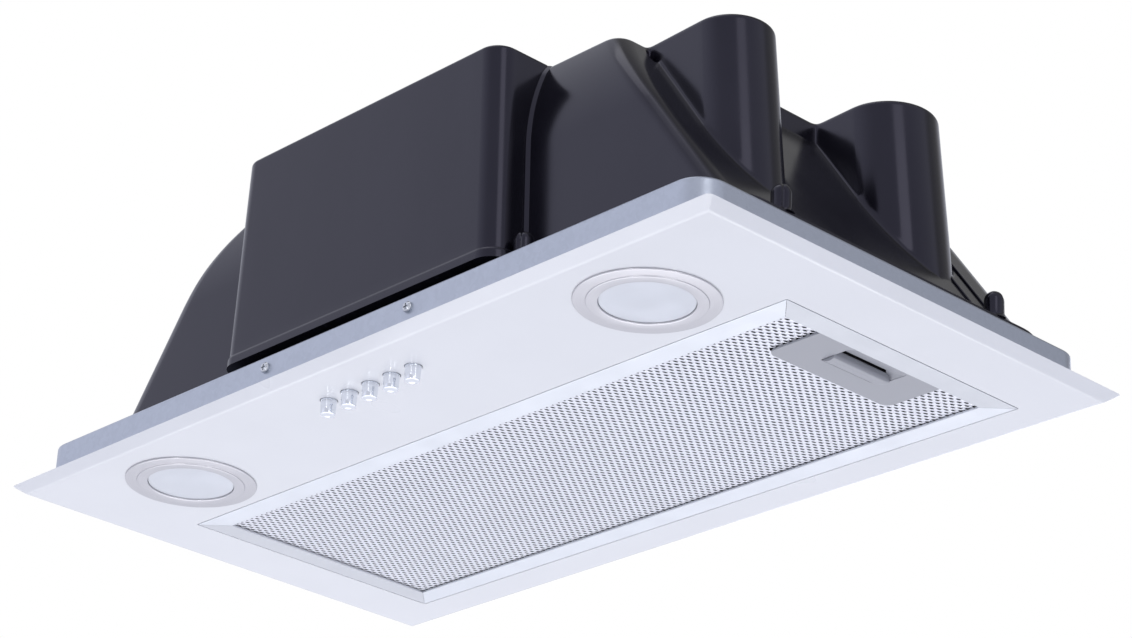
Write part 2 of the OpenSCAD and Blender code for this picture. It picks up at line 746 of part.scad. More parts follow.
module blower_housing() {
    color([0.16, 0.16, 0.18]) difference() {
        union() {
            hopper(0, base_z, housing_top);
            towers(0, tower_foot, housing_top);
            translate([(base_right - base_left) / 2, 0, 0])
                plate(base_right + base_left, base_d, 25, base_z, base_z + flange_t);
            translate([-outlet_x, 0, 0]) rod(turret_r, housing_top - 30, housing_top);
            for (p = screw_spots) {
                post(p[0], p[1]);
                translate([p[0], p[1], 0]) rod(post_r + 1, base_z, base_z + flange_t);
            }
        }
        hopper(-housing_t, base_z - eps, housing_inner_top);
        towers(-housing_t, tower_foot + 2, housing_inner_top);
        translate([-outlet_x, 0, 0]) rod(plenum_r + scroll_t + fit_gap, housing_top - 31, housing_inner_top);
        translate([-outlet_x, 0, 0]) rod(spigot_r - spigot_t, housing_inner_top - eps, housing_top + eps);
        for (p = screw_spots) translate([p[0], p[1], 0]) rod(1.6, base_z - eps, base_z + flange_t + eps);
        for (a = [45 : 90 : 315]) translate([-outlet_x, 0, 0]) rotate([0, 0, a])
            translate([collar_screw_r, 0, 0]) rod(1.5, housing_inner_top - eps, housing_top + eps);
        for (p = [for (a = lugs) lug_spot(a)]) translate([p[0], p[1], 0])
            rod(1.8, housing_inner_top - eps, housing_top + eps);
        for (a = [90 : 120 : 330]) translate([fan_x, 0, 0]) rotate([0, 0, a])
            translate([motor_screw_pitch, 0, 0]) rod(motor_screw_r + 0.2, housing_inner_top - eps, housing_top + eps);
        for (s = [-1, 1]) translate([s * tab_x, -tab_y, 0]) rod(1.5, housing_inner_top - eps, housing_top + eps);
    }
}

module housing_screws() {
    color([0.8, 0.8, 0.82]) for (p = screw_spots)
        translate([p[0], p[1], lip_z]) scale([1, 1, -1]) pan_screw(3, 1.5, post_h - post_r);
}

// The control box as a solid, its skin moved outwards by grow
module box_solid(grow, z0, z1) {
    half = box_w / 2;
    loft([for (z = [z0, z1]) let (in = box_taper * (z - box_z0) / (box_top - box_z0))
        outline(box_x - half + in - grow, box_x + half - in + grow, -box_y - grow, -tab_y,
                box_r + grow, box_r + grow, 0.01, 0.01, z)]);
}

module control_box() {
    half = box_w / 2;
    bead_h = 1.6;
    color([0.17, 0.17, 0.19]) difference() {
        union() {
            difference() {
                union() {
                    box_solid(0, box_z0, box_top);
                    box_solid(skirt_out, box_z0, box_z0 + skirt_h);
                }
                hopper(fit_gap, base_z, housing_top, box_top - housing_top + eps);
            }
            intersection() {
                difference() {
                    hopper(fit_gap + bead_h, base_z, housing_top);
                    hopper(fit_gap, base_z - eps, housing_top, eps);
                }
                for (s = [-1, 1]) translate([box_x + s * (half - 2), -box_y, box_z0 + 12])
                    rotate([0, -s * atan(box_taper / (box_top - box_z0)), 0])
                        translate([s > 0 ? 0 : -4, 0, 0]) cube([4, 60, housing_top]);
            }
            for (s = [-1, 1]) block([s * tab_x - 7, -box_y + 24, housing_top], [s * tab_x + 7, -tab_y + 7, housing_top + tab_t]);
            for (sx = [-1, 1], z = [board_z + 5, board_z + board_h - 5])
                translate([board_x + sx * (board_w / 2 - 5), -box_y + box_t - 0.5, z])
                    rotate([-90, 0, 0]) cylinder(h = board_off + 0.5, r = 3);
        }
        difference() {
            box_solid(-box_t, box_z0 + box_t, box_top - box_t);
            for (sx = [-1, 1], z = [board_z + 5, board_z + board_h - 5])
                translate([board_x + sx * (board_w / 2 - 5), -box_y + box_t - 0.5, z])
                    rotate([-90, 0, 0]) cylinder(h = board_off + 0.5, r = 3);
        }
        block([-30, -box_y + 8, box_z0 - eps], [30, -hopper_y - 3, box_z0 + box_t + eps]);
        translate([gland_x, -gland_y, 0]) rod(gland_thread_r + fit_gap, box_top - box_t - eps, box_top + eps);
        for (s = [-1, 1]) translate([s * tab_x, -tab_y, 0]) rod(1.8, housing_top - eps, housing_top + tab_t + eps);
    }
}

module cover_screws() {
    color([0.8, 0.8, 0.82]) for (s = [-1, 1])
        translate([s * tab_x, -tab_y, housing_top + tab_t]) pan_screw(3, 1.4, tab_t + 6);
}

module control_board() {
    y0 = -box_y + box_t + board_off;
    color([0.1, 0.4, 0.22])
        block([board_x - board_w / 2, y0, board_z], [board_x + board_w / 2, y0 + board_t, board_z + board_h]);
}

module terminal_block() {
    y0 = -box_y + box_t + board_off + board_t;
    pitch = 8;
    color([0.85, 0.85, 0.82]) difference() {
        block([board_x + 6, y0, board_z + board_h - 22], [board_x + 46, y0 + 11, board_z + board_h - 6]);
        for (i = [0 : 4]) translate([board_x + 10 + i * pitch, y0 + 6, board_z + board_h - 14])
            rotate([-90, 0, 0]) cylinder(h = 6, r = 2.2);
    }
}

module capacitor() {
    y0 = -box_y + box_t + board_off + board_t;
    color([0.75, 0.72, 0.6]) translate([board_x - 27, y0 + 6, board_z + 22]) rotate([90, 0, 0])
        linear_extrude(12, center = true) round_rect(38, 24, 3);
}

module cable_gland() {
    z0 = box_top + gland_up - gland_h;
    color([0.2, 0.2, 0.21]) translate([gland_x, -gland_y, 0]) difference() {
        union() {
            rod(gland_thread_r, z0, box_top + eps);
            rod(gland_flange_r, box_top, box_top + 2.5);
            rod(gland_flange_r - 2, box_top + 2.5, box_top + gland_up - 2.5);
            translate([0, 0, box_top + gland_up - 2.5])
                cylinder(h = 2.5, r1 = gland_flange_r - 2, r2 = gland_flange_r - 4);
            translate([0, 0, box_top - box_t - 4]) cylinder(h = 4, r = gland_flange_r, $fn = 6);
        }
        rod(gland_r, z0 - eps, box_top + gland_up + eps);
    }
}

module outlet_collar() {
    top = housing_top + spigot_h;
    color([0.18, 0.18, 0.2]) translate([-outlet_x, 0, 0]) difference() {
        union() {
            rod(turret_r, housing_top, housing_top + collar_t);
            rod(spigot_r, housing_top, top);
        }
        rod(spigot_r - spigot_t, housing_top - eps, top + eps);
        translate([0, 0, flap_axis_z]) rotate([90, 0, 0])
            cylinder(h = 2 * (spigot_r - spigot_t + 1), r = flap_pin_r + run_gap / 2, center = true);
        for (a = [45 : 90 : 315]) rotate([0, 0, a]) translate([collar_screw_r, 0, 0]) {
            rod(1.7, housing_top - eps, housing_top + collar_t + eps);
            translate([0, 0, housing_top + collar_t - 1.6]) cylinder(h = 1.7, r1 = 1.6, r2 = 3.3);
        }
    }
}

module collar_screws() {
    color([0.8, 0.8, 0.82]) translate([-outlet_x, 0, housing_top + collar_t]) for (a = [45 : 90 : 315])
        rotate([0, 0, a]) translate([collar_screw_r, 0, -0.1]) flush_screw(2.9, 1.4, collar_t + housing_t - 0.5);
}

module flap_pin() {
    color([0.75, 0.76, 0.78]) translate([-outlet_x, 0, flap_axis_z]) rotate([90, 0, 0])
        cylinder(h = 2 * (spigot_r - spigot_t + 0.8), r = flap_pin_r, center = true);
}

// Half a round flap with its knuckles on the pin; side 1 is the right one
module flap(side) {
    edge = knuckle_r + 0.5;
    spots = side > 0 ? [-40, 14] : [-26, 28];
    color([0.3, 0.3, 0.32]) translate([-outlet_x, 0, flap_axis_z]) difference() {
        union() {
            intersection() {
                rod(flap_r, -flap_t / 2, flap_t / 2);
                scale([side, 1, 1]) block([edge, -flap_r, -flap_t], [flap_r + eps, flap_r, flap_t]);
            }
            for (y = spots) {
                translate([0, y + knuckle_w, 0]) rotate([90, 0, 0]) cylinder(h = knuckle_w, r = knuckle_r);
                scale([side, 1, 1]) block([0, y, -flap_t / 2], [edge + 2, y + knuckle_w, flap_t / 2]);
            }
        }
        rotate([90, 0, 0]) cylinder(h = 2 * flap_r, r = flap_pin_r + run_gap, center = true);
    }
}

module flap_left() { flap(-1); }
module flap_right() { flap(1); }

// Radius of the scroll at an angle about the fan's axis
function spiral(a) = scroll_r + scroll_grow * (a - scroll_from) / (scroll_to - scroll_from);

// Where a screw lug stands, outside the scroll's wall
function lug_spot(a) = let (r = spiral(a < scroll_from ? a + 360 : a) + scroll_t + lug_r - 1)
    [fan_x + r * cos(a), r * sin(a)];

// Plan of the scroll: the spiral, the round chamber under the outlet and the duct between them
module scroll_plan(grow) {
    out = scroll_r + scroll_grow + grow;
    translate([fan_x, 0]) circle(r = tongue_r + grow);
    polygon(concat([[fan_x, 0]], [for (i = [0 : scroll_steps])
        let (a = scroll_from + (scroll_to - scroll_from) * i / scroll_steps)
            [fan_x + (spiral(a) + grow) * cos(a), (spiral(a) + grow) * sin(a)]]));
    translate([-outlet_x, 0]) circle(r = plenum_r + grow);
    polygon([[fan_x, 0], [fan_x, out], [-outlet_x, plenum_r + grow - 1.5], [-outlet_x, 0]]);
}

module scroll_casing() {
    color([0.26, 0.26, 0.28]) difference() {
        union() {
            translate([0, 0, scroll_z]) linear_extrude(housing_inner_top - scroll_z) scroll_plan(scroll_t);
            for (a = lugs) translate([lug_spot(a)[0], lug_spot(a)[1], 0])
                rod(lug_r, housing_inner_top - lug_h, housing_inner_top);
        }
        translate([0, 0, scroll_z + scroll_t]) linear_extrude(housing_inner_top - scroll_z) scroll_plan(0);
        translate([fan_x, 0, 0]) rod(inlet_r + 2, scroll_z - eps, scroll_z + scroll_t + eps);
        for (a = lugs) translate([lug_spot(a)[0], lug_spot(a)[1], 0])
            rod(1.65, housing_inner_top - lug_h - eps, housing_inner_top + eps);
    }
}

module scroll_screws() {
    color([0.8, 0.8, 0.82]) for (a = lugs)
        translate([lug_spot(a)[0], lug_spot(a)[1], housing_top]) pan_screw(3.2, 1.55, housing_t + 9);
}

module inlet_ring() {
    z = scroll_z;
    color([0.3, 0.3, 0.32]) translate([fan_x, 0, 0]) rotate_extrude()
        polygon([[inlet_r, z + 5], [inlet_r, z + 1], [inlet_r + 1.5, z - 1.2], [inlet_r + 5, z - 3],
                 [inlet_r + 12, z - 3], [inlet_r + 12, z], [inlet_r + 1.7, z], [inlet_r + 1.7, z + 5]]);
}

// One forward-curved blade, as a bent strip
module blade() {
    n = 6;
    bend = 38;
    r = (fan_r - blade_in - 1) / sin(bend);
    inner = [for (i = [0 : n]) let (a = bend * i / n) [(r + blade_t / 2) * sin(a), r - (r + blade_t / 2) * cos(a)]];
    outer = [for (i = [n : -1 : 0]) let (a = bend * i / n) [(r - blade_t / 2) * sin(a), r - (r - blade_t / 2) * cos(a)]];
    translate([blade_in + 0.5, 0, blade_z0]) linear_extrude(fan_h) polygon(concat(inner, outer));
}

module impeller() {
    color([0.22, 0.23, 0.25]) translate([fan_x, 0, 0]) {
        for (i = [0 : blades - 1]) rotate([0, 0, i * 360 / blades]) blade();
        difference() {
            union() {
                rod(fan_r, blade_z1 - 0.01, blade_z1 + back_t);
                rod(cup_r + cup_t, cup_floor, blade_z1 + back_t);
                rod(hub_r, blade_z0, cup_floor + back_t);
            }
            rod(cup_r, cup_floor + back_t, blade_z1 + back_t + eps);
            rod(shaft_r + run_gap / 2, blade_z0 - eps, cup_floor + back_t + eps);
        }
        tube(fan_r, fan_r - 3.5, blade_z0 - 1.2, blade_z0 + 0.5);
    }
}

module impeller_nut() {
    color([0.75, 0.76, 0.78]) translate([fan_x, 0, 0]) difference() {
        translate([0, 0, shaft_low + 0.5]) cylinder(h = blade_z0 - shaft_low - 0.5, r = 7, $fn = 6);
        rod(shaft_r + run_gap / 2, shaft_low - eps, blade_z0 + eps);
    }
}

module motor_shaft() {
    color([0.75, 0.76, 0.78]) translate([fan_x, 0, 0]) rod(shaft_r, shaft_low, bracket_z0 + 1);
}

module motor() {
    color([0.55, 0.56, 0.58]) translate([fan_x, 0, 0]) difference() {
        union() {
            rod(motor_r - 6, motor_z0, bracket_z0);
            rod(motor_r, motor_z0 + 7, bracket_z0 - 9);
        }
        rod(shaft_r + 2, motor_z0 - eps, bracket_z0 + eps);
        for (z = [motor_z0 - eps, bracket_z0 - 5]) rod(shaft_r + 5, z, z + 5 + eps);
    }
}

module motor_bearings() {
    color([0.7, 0.6, 0.35]) translate([fan_x, 0, 0]) {
        tube(shaft_r + 5, shaft_r + run_gap, motor_z0, motor_z0 + 5);
        tube(shaft_r + 5, shaft_r + run_gap, bracket_z0 - 5, bracket_z0);
    }
}

module motor_bracket() {
    color([0.62, 0.66, 0.7]) translate([fan_x, 0, 0]) difference() {
        union() {
            rod(motor_r - 8, bracket_z0, bracket_z0 + bracket_plate_t);
            for (a = [90 : 120 : 330]) rotate([0, 0, a]) {
                block([0, -8, bracket_z0], [motor_screw_pitch, 8, bracket_z0 + bracket_plate_t]);
                translate([motor_screw_pitch, 0, 0]) rod(8, bracket_z0, bracket_z0 + bracket_plate_t);
            }
        }
        rod(shaft_r + 3, bracket_z0 - eps, bracket_z0 + bracket_plate_t + eps);
        for (a = [90 : 120 : 330]) rotate([0, 0, a]) translate([motor_screw_pitch, 0, 0])
            rod(motor_screw_r + 0.2, bracket_z0 - eps, bracket_z0 + bracket_plate_t + eps);
    }
}

module motor_grommets() {
    color([0.1, 0.1, 0.1]) translate([fan_x, 0, 0]) for (a = [90 : 120 : 330]) rotate([0, 0, a])
        translate([motor_screw_pitch, 0, 0])
            tube(grommet_r, motor_screw_r + 0.2, bracket_z0 + bracket_plate_t, housing_inner_top);
}

module motor_screws() {
    color([0.8, 0.8, 0.82]) translate([fan_x, 0, 0]) for (a = [90 : 120 : 330]) rotate([0, 0, a])
        translate([motor_screw_pitch, 0, 0]) {
            translate([0, 0, housing_top]) pan_screw(3.6, motor_screw_r, housing_top - bracket_z0 + 5);
            difference() {
                translate([0, 0, bracket_z0 - 3.2]) cylinder(h = 3.2, r = 4, $fn = 6);
                rod(motor_screw_r + 0.05, bracket_z0 - 3.2 - eps, bracket_z0 + eps);
            }
        }
}

fascia_panel();
mounting_frame();
fascia_brackets();
frame_screws();
switch_bracket();
switch_module();
button_1();
button_2();
button_3();
button_4();
button_5();
lamp_bezel_left();
lamp_bezel_right();
lamp_lens_left();
lamp_lens_right();
lamp_body_left();
lamp_body_right();
lamp_clips_left();
lamp_clips_right();
filter_frame();
filter_mesh();
filter_pins();
hinge_brackets();
latch_plate();
latch_slider();
blower_housing();
housing_screws();
control_box();
cover_screws();
control_board();
terminal_block();
capacitor();
cable_gland();
outlet_collar();
collar_screws();
flap_pin();
flap_left();
flap_right();
scroll_casing();
scroll_screws();
inlet_ring();
impeller();
impeller_nut();
motor_shaft();
motor();
motor_bearings();
motor_bracket();
motor_grommets();
motor_screws();
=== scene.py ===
"""Built-in range hood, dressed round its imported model.

Lengths are millimetres unless a name says otherwise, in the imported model's frame: X along the long side, -Y
the user's side, Z up, the origin at the cabinet's underside. Shell.build turns them into metres.
"""

import logging
import math
from dataclasses import dataclass
from enum import Enum
from typing import Callable, Iterable, Sequence

import bmesh
import bpy
import numpy as np
from mathutils import Matrix, Vector
from mathutils.geometry import delaunay_2d_cdt

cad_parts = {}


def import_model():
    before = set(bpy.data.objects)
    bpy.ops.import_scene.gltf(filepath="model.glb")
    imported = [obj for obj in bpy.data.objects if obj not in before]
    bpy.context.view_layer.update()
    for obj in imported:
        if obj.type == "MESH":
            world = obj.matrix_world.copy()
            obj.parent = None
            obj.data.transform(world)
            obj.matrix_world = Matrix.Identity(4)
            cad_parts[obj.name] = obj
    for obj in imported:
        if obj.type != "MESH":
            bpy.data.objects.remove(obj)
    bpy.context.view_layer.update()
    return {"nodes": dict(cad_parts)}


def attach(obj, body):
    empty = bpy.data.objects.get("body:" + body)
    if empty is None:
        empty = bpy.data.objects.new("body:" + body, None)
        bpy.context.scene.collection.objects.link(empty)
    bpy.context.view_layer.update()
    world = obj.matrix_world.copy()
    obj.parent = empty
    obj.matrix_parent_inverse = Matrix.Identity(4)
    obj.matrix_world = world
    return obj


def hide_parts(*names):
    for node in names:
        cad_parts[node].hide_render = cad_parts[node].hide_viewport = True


LOG = logging.getLogger("range_hood")
MM = 0.001
WELD = 2e-6
TAU = 2 * math.pi
QUARTER = math.pi / 2
Pair = tuple[float, float]
Triple = tuple[float, float, float]
Quad = tuple[float, float, float, float]
Rgba = Quad
Socket = bpy.types.NodeSocket
Material = bpy.types.Material
Object = bpy.types.Object


class Body(Enum):
    """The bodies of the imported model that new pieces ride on, apart from the buttons'."""

    HOOD = "hood"
    FILTER = "filter"
    LATCH = "latch"


class Side(Enum):
    """Left or right of the hood's middle."""

    LEFT = -1
    RIGHT = 1

    @property
    def word(self) -> str:
        """The side's name as the model's nodes write it."""
        return self.name.lower()


def tone(red: int, green: int, blue: int) -> Rgba:
    """Turns a screen colour, each part from 0 to 255, into a shader's linear colour with full opacity."""
    parts = np.array([red, green, blue]) / 255
    return (*np.where(parts <= 0.04045, parts / 12.92, ((parts + 0.055) / 1.055) ** 2.4).tolist(), 1.0)


# Finishes


class Graph:
    """A node tree that is emptied and then built a step at a time."""

    def __init__(self, tree: bpy.types.NodeTree) -> None:
        """Empties the tree."""
        self.nodes, self.links = tree.nodes, tree.links
        self.nodes.clear()

    def feed(self, socket: Socket, value: object) -> None:
        """Links a socket to another one, or sets its own value.

        Args:
            socket: The input socket.
            value: An output socket, or a number or colour.
        """
        if isinstance(value, Socket):
            self.links.new(value, socket)
        else:
            socket.default_value = value

    def add(self, kind: str, settings: dict[str, object] | None = None, **inputs: object) -> bpy.types.Node:
        """Adds a node.

        Args:
            kind: The node's type without the ShaderNode prefix.
            settings: The node's own properties.
            **inputs: Values of its inputs, an underscore standing for a space.

        Returns:
            The new node.
        """
        node = self.nodes.new("ShaderNode" + kind)
        for name, value in (settings or {}).items():
            setattr(node, name, value)
        for name, value in inputs.items():
            self.feed(node.inputs[name.replace("_", " ")], value)
        return node

    def step(self, kind: str, operation: str, *operands: object) -> Socket:
        """Adds one step of arithmetic.

        Args:
            kind: Math for numbers, VectorMath for vectors.
            operation: The node's operation.
            *operands: Its operands in order.

        Returns:
            The result.
        """
        node = self.add(kind, {"operation": operation})
        for socket, value in zip(node.inputs, operands):
            self.feed(socket, value)
        return node.outputs[0]

    def math(self, operation: str, first: object, second: object) -> Socket:
        """One step of arithmetic on two numbers."""
        return self.step("Math", operation, first, second)

    def place(self, stretch: Sequence[float] = (1, 1, 1), centre: Sequence[float] = (0, 0, 0)) -> Socket:
        """Object coordinates, moved to a centre in metres and stretched along the three axes."""
        moved = self.step("VectorMath", "SUBTRACT", self.add("TexCoord").outputs["Object"], tuple(centre))
        return self.add("Mapping", Vector=moved, Scale=tuple(stretch)).outputs["Vector"]

    def noise(self, place: Socket, scale: float, detail: float = 3, rough: float = 0.5) -> Socket:
        """Soft noise from 0 to 1: features per metre, octaves, and the strength of the finer octaves."""
        return self.add("TexNoise", Vector=place, Scale=scale, Detail=detail, Roughness=rough).outputs["Fac"]

    def cells(self, place: Socket, scale: float, output: str = "Distance") -> Socket:
        """Irregular cells, so many per metre: their Distance or their Color."""
        return self.add("TexVoronoi", Vector=place, Scale=scale).outputs[output]

    def remap(
        self, value: Socket, low: float, high: float, to_low: float, to_high: float, style: str = "LINEAR"
    ) -> Socket:
        """Moves a range of values to another and clamps it.

        Args:
            value: The value.
            low: Lower end of the range read.
            high: Upper end of the range read.
            to_low: What the lower end becomes.
            to_high: What the upper end becomes.
            style: How the values between the ends are moved.

        Returns:
            The new value.
        """
        node = self.add("MapRange", {"clamp": True, "interpolation_type": style}, Value=value)
        for socket, number in zip(node.inputs[1:5], (low, high, to_low, to_high)):
            socket.default_value = number
        return node.outputs[0]

    def blend(self, share: Socket, first: object, second: object) -> Socket:
        """Mixes two colours.

        Args:
            share: 0 for the first, 1 for the second.
            first: First colour.
            second: Second colour.

        Returns:
            The mixed colour.
        """
        node = self.add("Mix", {"data_type": "RGBA"})
        for index, value in ((0, share), (6, first), (7, second)):
            self.feed(node.inputs[index], value)
        return node.outputs[2]

    def bump(
        self, height: Socket, depth: float, strength: float = 1.0, normal: Socket | None = None
    ) -> Socket:
        """Raises the surface's shading by a height.

        Args:
            height: Height from 0 to 1.
            depth: What a height of 1 stands for, in millimetres.
            strength: Share of the effect.
            normal: A normal to build on.

        Returns:
            The new normal.
        """
        node = self.add("Bump", Height=height, Distance=depth * MM, Strength=strength)
        if normal is not None:
            self.links.new(normal, node.inputs["Normal"])
        return node.outputs["Normal"]


class Surface(Graph):
    """A material's nodes round one Principled shader."""

    def __init__(self, name: str) -> None:
        """Makes an empty material.

        Args:
            name: The material's name.
        """
        self.material = bpy.data.materials.new(name)
        self.material.use_nodes = True
        super().__init__(self.material.node_tree)
        self.shader = self.add("BsdfPrincipled")
        self.feed(self.add("OutputMaterial").inputs["Surface"], self.shader.outputs["BSDF"])

    def done(self, **inputs: object) -> Material:
        """Sets the shader's inputs.

        Args:
            **inputs: Values or sockets, an underscore standing for a space.

        Returns:
            The finished material.
        """
        for name, value in inputs.items():
            self.feed(self.shader.inputs[name.replace("_", " ")], value)
        return self.material


@dataclass(frozen=True)
class Finish:
    """A surface finish: its name, the record's slot it stands for, and its main colour."""

    name: str
    slot: str
    colour: Rgba

    def shade(self, factor: float) -> Rgba:
        """The main colour times a factor."""
        return (*(part * factor for part in self.colour[:3]), 1.0)

    def make(self) -> Material:
        """Builds the material."""
        raise NotImplementedError


@dataclass(frozen=True)
class Enamel(Finish):
    """Stoved enamel: a smooth coat with a faint orange peel and the least cloudiness."""

    roughness: float = 0.3
    peel: float = 0.02

    def make(self) -> Material:
        """Builds the material.

        Returns:
            The material.
        """
        g = Surface(self.name)
        place = g.place()
        cloud = g.noise(place, 14, 2)
        peel = g.noise(place, 520, 1)
        grain = g.noise(place, 5200, 1)
        return g.done(
            Base_Color=g.blend(g.remap(cloud, 0.35, 0.65, 0, 1), self.colour, self.shade(0.97)),
            Roughness=g.remap(cloud, 0.3, 0.7, self.roughness - 0.03, self.roughness + 0.04),
            Coat_Weight=0.8,
            Coat_Roughness=0.06,
            Normal=g.bump(grain, 0.006, 0.3, g.bump(peel, self.peel, 0.5)),
        )


@dataclass(frozen=True)
class Galvanised(Finish):
    """Hot-dipped zinc: small crystals of slightly differing tone, a dull grain and rolling marks."""

    spangle: float = 2.2
    roughness: float = 0.36

    def make(self) -> Material:
        """Builds the material.

        Returns:
            The material.
        """
        g = Surface(self.name)
        place = g.place()
        warp = g.noise(place, 120, 2)
        stir = g.add("TexNoise", Vector=place, Scale=260.0).outputs["Color"]
        shift = g.add("VectorMath", {"operation": "SCALE"}, Vector=stir, Scale=0.006).outputs[0]
        crystal = g.cells(g.step("VectorMath", "ADD", place, shift), 1000 / self.spangle, "Color")
        grey = g.add("SeparateColor", Color=crystal).outputs[0]
        rolled = g.noise(g.place((900, 900, 45)), 2, 2)
        share = g.math("ADD", g.math("MULTIPLY", grey, 0.7), g.math("MULTIPLY", warp, 0.45))
        return g.done(
            Base_Color=g.blend(g.remap(share, 0.1, 1.0, 0, 1), self.shade(0.94), self.colour),
            Metallic=0.85,
            Roughness=g.remap(share, 0.1, 1.0, self.roughness + 0.05, self.roughness - 0.03),
            Normal=g.bump(rolled, 0.02, 0.5, g.bump(grey, 0.01, 0.08)),
        )


@dataclass(frozen=True)
class Moulded(Finish):
    """Moulded plastic or rubber: fine spark grain, faint flow clouds, dust and rub marks."""

    roughness: float = 0.4
    grain: float = 0.02
    grain_size: float = 0.35
    cloud: float = 0.12
    gloss: float = 0.5
    sheen: Rgba = (1.0, 1.0, 1.0, 1.0)
    rub: float = 0.0

    def make(self) -> Material:
        """Builds the material.

        Returns:
            The material.
        """
        g = Surface(self.name)
        place = g.place()
        flow = g.noise(g.place((1, 1, 0.45)), 22, 3, 0.6)
        fine = g.noise(place, 1000 / self.grain_size, 2, 0.6)
        lighter = (*(min(1.0, c * (1 + self.cloud) + 0.01 * self.cloud) for c in self.colour[:3]), 1.0)
        speck = g.remap(g.cells(place, 420), 0.02, 0.06, self.rub, 0.0)
        wave = g.noise(g.place((1, 1, 0.2)), 38, 1)
        return g.done(
            Base_Color=g.blend(g.math("ADD", g.remap(flow, 0.35, 0.7, 0, 1), speck), self.colour, lighter),
            Roughness=g.remap(flow, 0.3, 0.7, self.roughness - 0.04, self.roughness + 0.06),
            Specular_Tint=self.sheen,
            Specular_IOR_Level=self.gloss,
            Normal=g.bump(fine, self.grain, 0.6, g.bump(wave, 0.05, 0.5)),
        )


@dataclass(frozen=True)
class Metal(Finish):
    """Bare or plated metal, drawn lines along one axis when its stretch says so."""

    roughness: float = 0.25
    stretch: Triple = (1, 1, 1)
    lines: float = 0.0
    blotch: float = 0.05
    metallic: float = 1.0

    def make(self) -> Material:
        """Builds the material.

        Returns:
            The material.
        """
        g = Surface(self.name)
        blotch = g.noise(g.place(), 60, 3, 0.6)
        drawn = g.noise(g.place(self.stretch), 900, 3, 0.6)
        share = g.math("ADD", g.math("MULTIPLY", blotch, 0.6), g.math("MULTIPLY", drawn, 0.4))
        return g.done(
            Base_Color=g.blend(g.remap(share, 0.3, 0.7, 1, 0), self.colour, self.shade(1 - 2 * self.blotch)),
            Metallic=self.metallic,
            Roughness=g.remap(share, 0.3, 0.7, max(0.02, self.roughness - 0.04), self.roughness + 0.05),
            Normal=g.bump(drawn, 0.01, self.lines),
        )


@dataclass(frozen=True)
class Turned(Finish):
    """Metal turned on a lathe about an upright axis: fine rings round the centre."""

    centre: Pair = (0.0, 0.0)
    roughness: float = 0.3
    pitch: float = 0.25

    def make(self) -> Material:
        """Builds the material.

        Returns:
            The material.
        """
        g = Surface(self.name)
        place = g.place((1, 1, 0), (self.centre[0] * MM, self.centre[1] * MM, 0))
        radius = g.add("VectorMath", {"operation": "LENGTH"}, Vector=place).outputs["Value"]
        rings = g.noise(g.add("CombineXYZ", X=radius).outputs[0], 1000 / self.pitch, 2, 0.7)
        uneven = g.math("ADD", rings, g.math("MULTIPLY", g.noise(g.place(), 90, 2), 0.4))
        return g.done(
            Base_Color=g.blend(g.remap(rings, 0.35, 0.65, 0, 1), self.colour, self.shade(0.86)),
            Metallic=1.0,
            Roughness=g.remap(uneven, 0.5, 0.9, self.roughness - 0.05, self.roughness + 0.07),
            Normal=g.bump(rings, 0.006, 0.5),
        )


@dataclass(frozen=True)
class Frosted(Finish):
    """Frosted lamp cover: milky plastic with a fine prismatic grain."""

    def make(self) -> Material:
        """Builds the material.

        Returns:
            The material.
        """
        g = Surface(self.name)
        place = g.place()
        prism = g.cells(place, 900)
        return g.done(
            Base_Color=g.blend(g.remap(g.noise(place, 40, 1), 0.4, 0.6, 0, 1), self.colour, self.shade(0.94)),
            Roughness=g.remap(prism, 0.1, 0.6, 0.3, 0.42),
            Subsurface_Weight=0.25,
            Subsurface_Scale=0.002,
            Subsurface_Radius=(1.0, 1.0, 1.0),
            Coat_Weight=0.4,
            Coat_Roughness=0.15,
            Normal=g.bump(prism, 0.02, 0.3),
        )


@dataclass(frozen=True)
class Laminate(Finish):
    """Circuit board: a glassy green lacquer over tinned tracks."""

    def make(self) -> Material:
        """Builds the material.

        Returns:
            The material.
        """
        g = Surface(self.name)
        tracks = g.add("TexBrick", Vector=g.place((1, 0, 1)), Scale=55.0, Mortar_Size=0.04).outputs["Fac"]
        return g.done(
            Base_Color=g.blend(g.remap(tracks, 0, 1, 0, 1), self.colour, self.shade(1.6)),
            Roughness=g.remap(g.noise(g.place(), 400, 2), 0.3, 0.7, 0.25, 0.4),
            Coat_Weight=0.5,
            Normal=g.bump(tracks, 0.03, 0.6),
        )


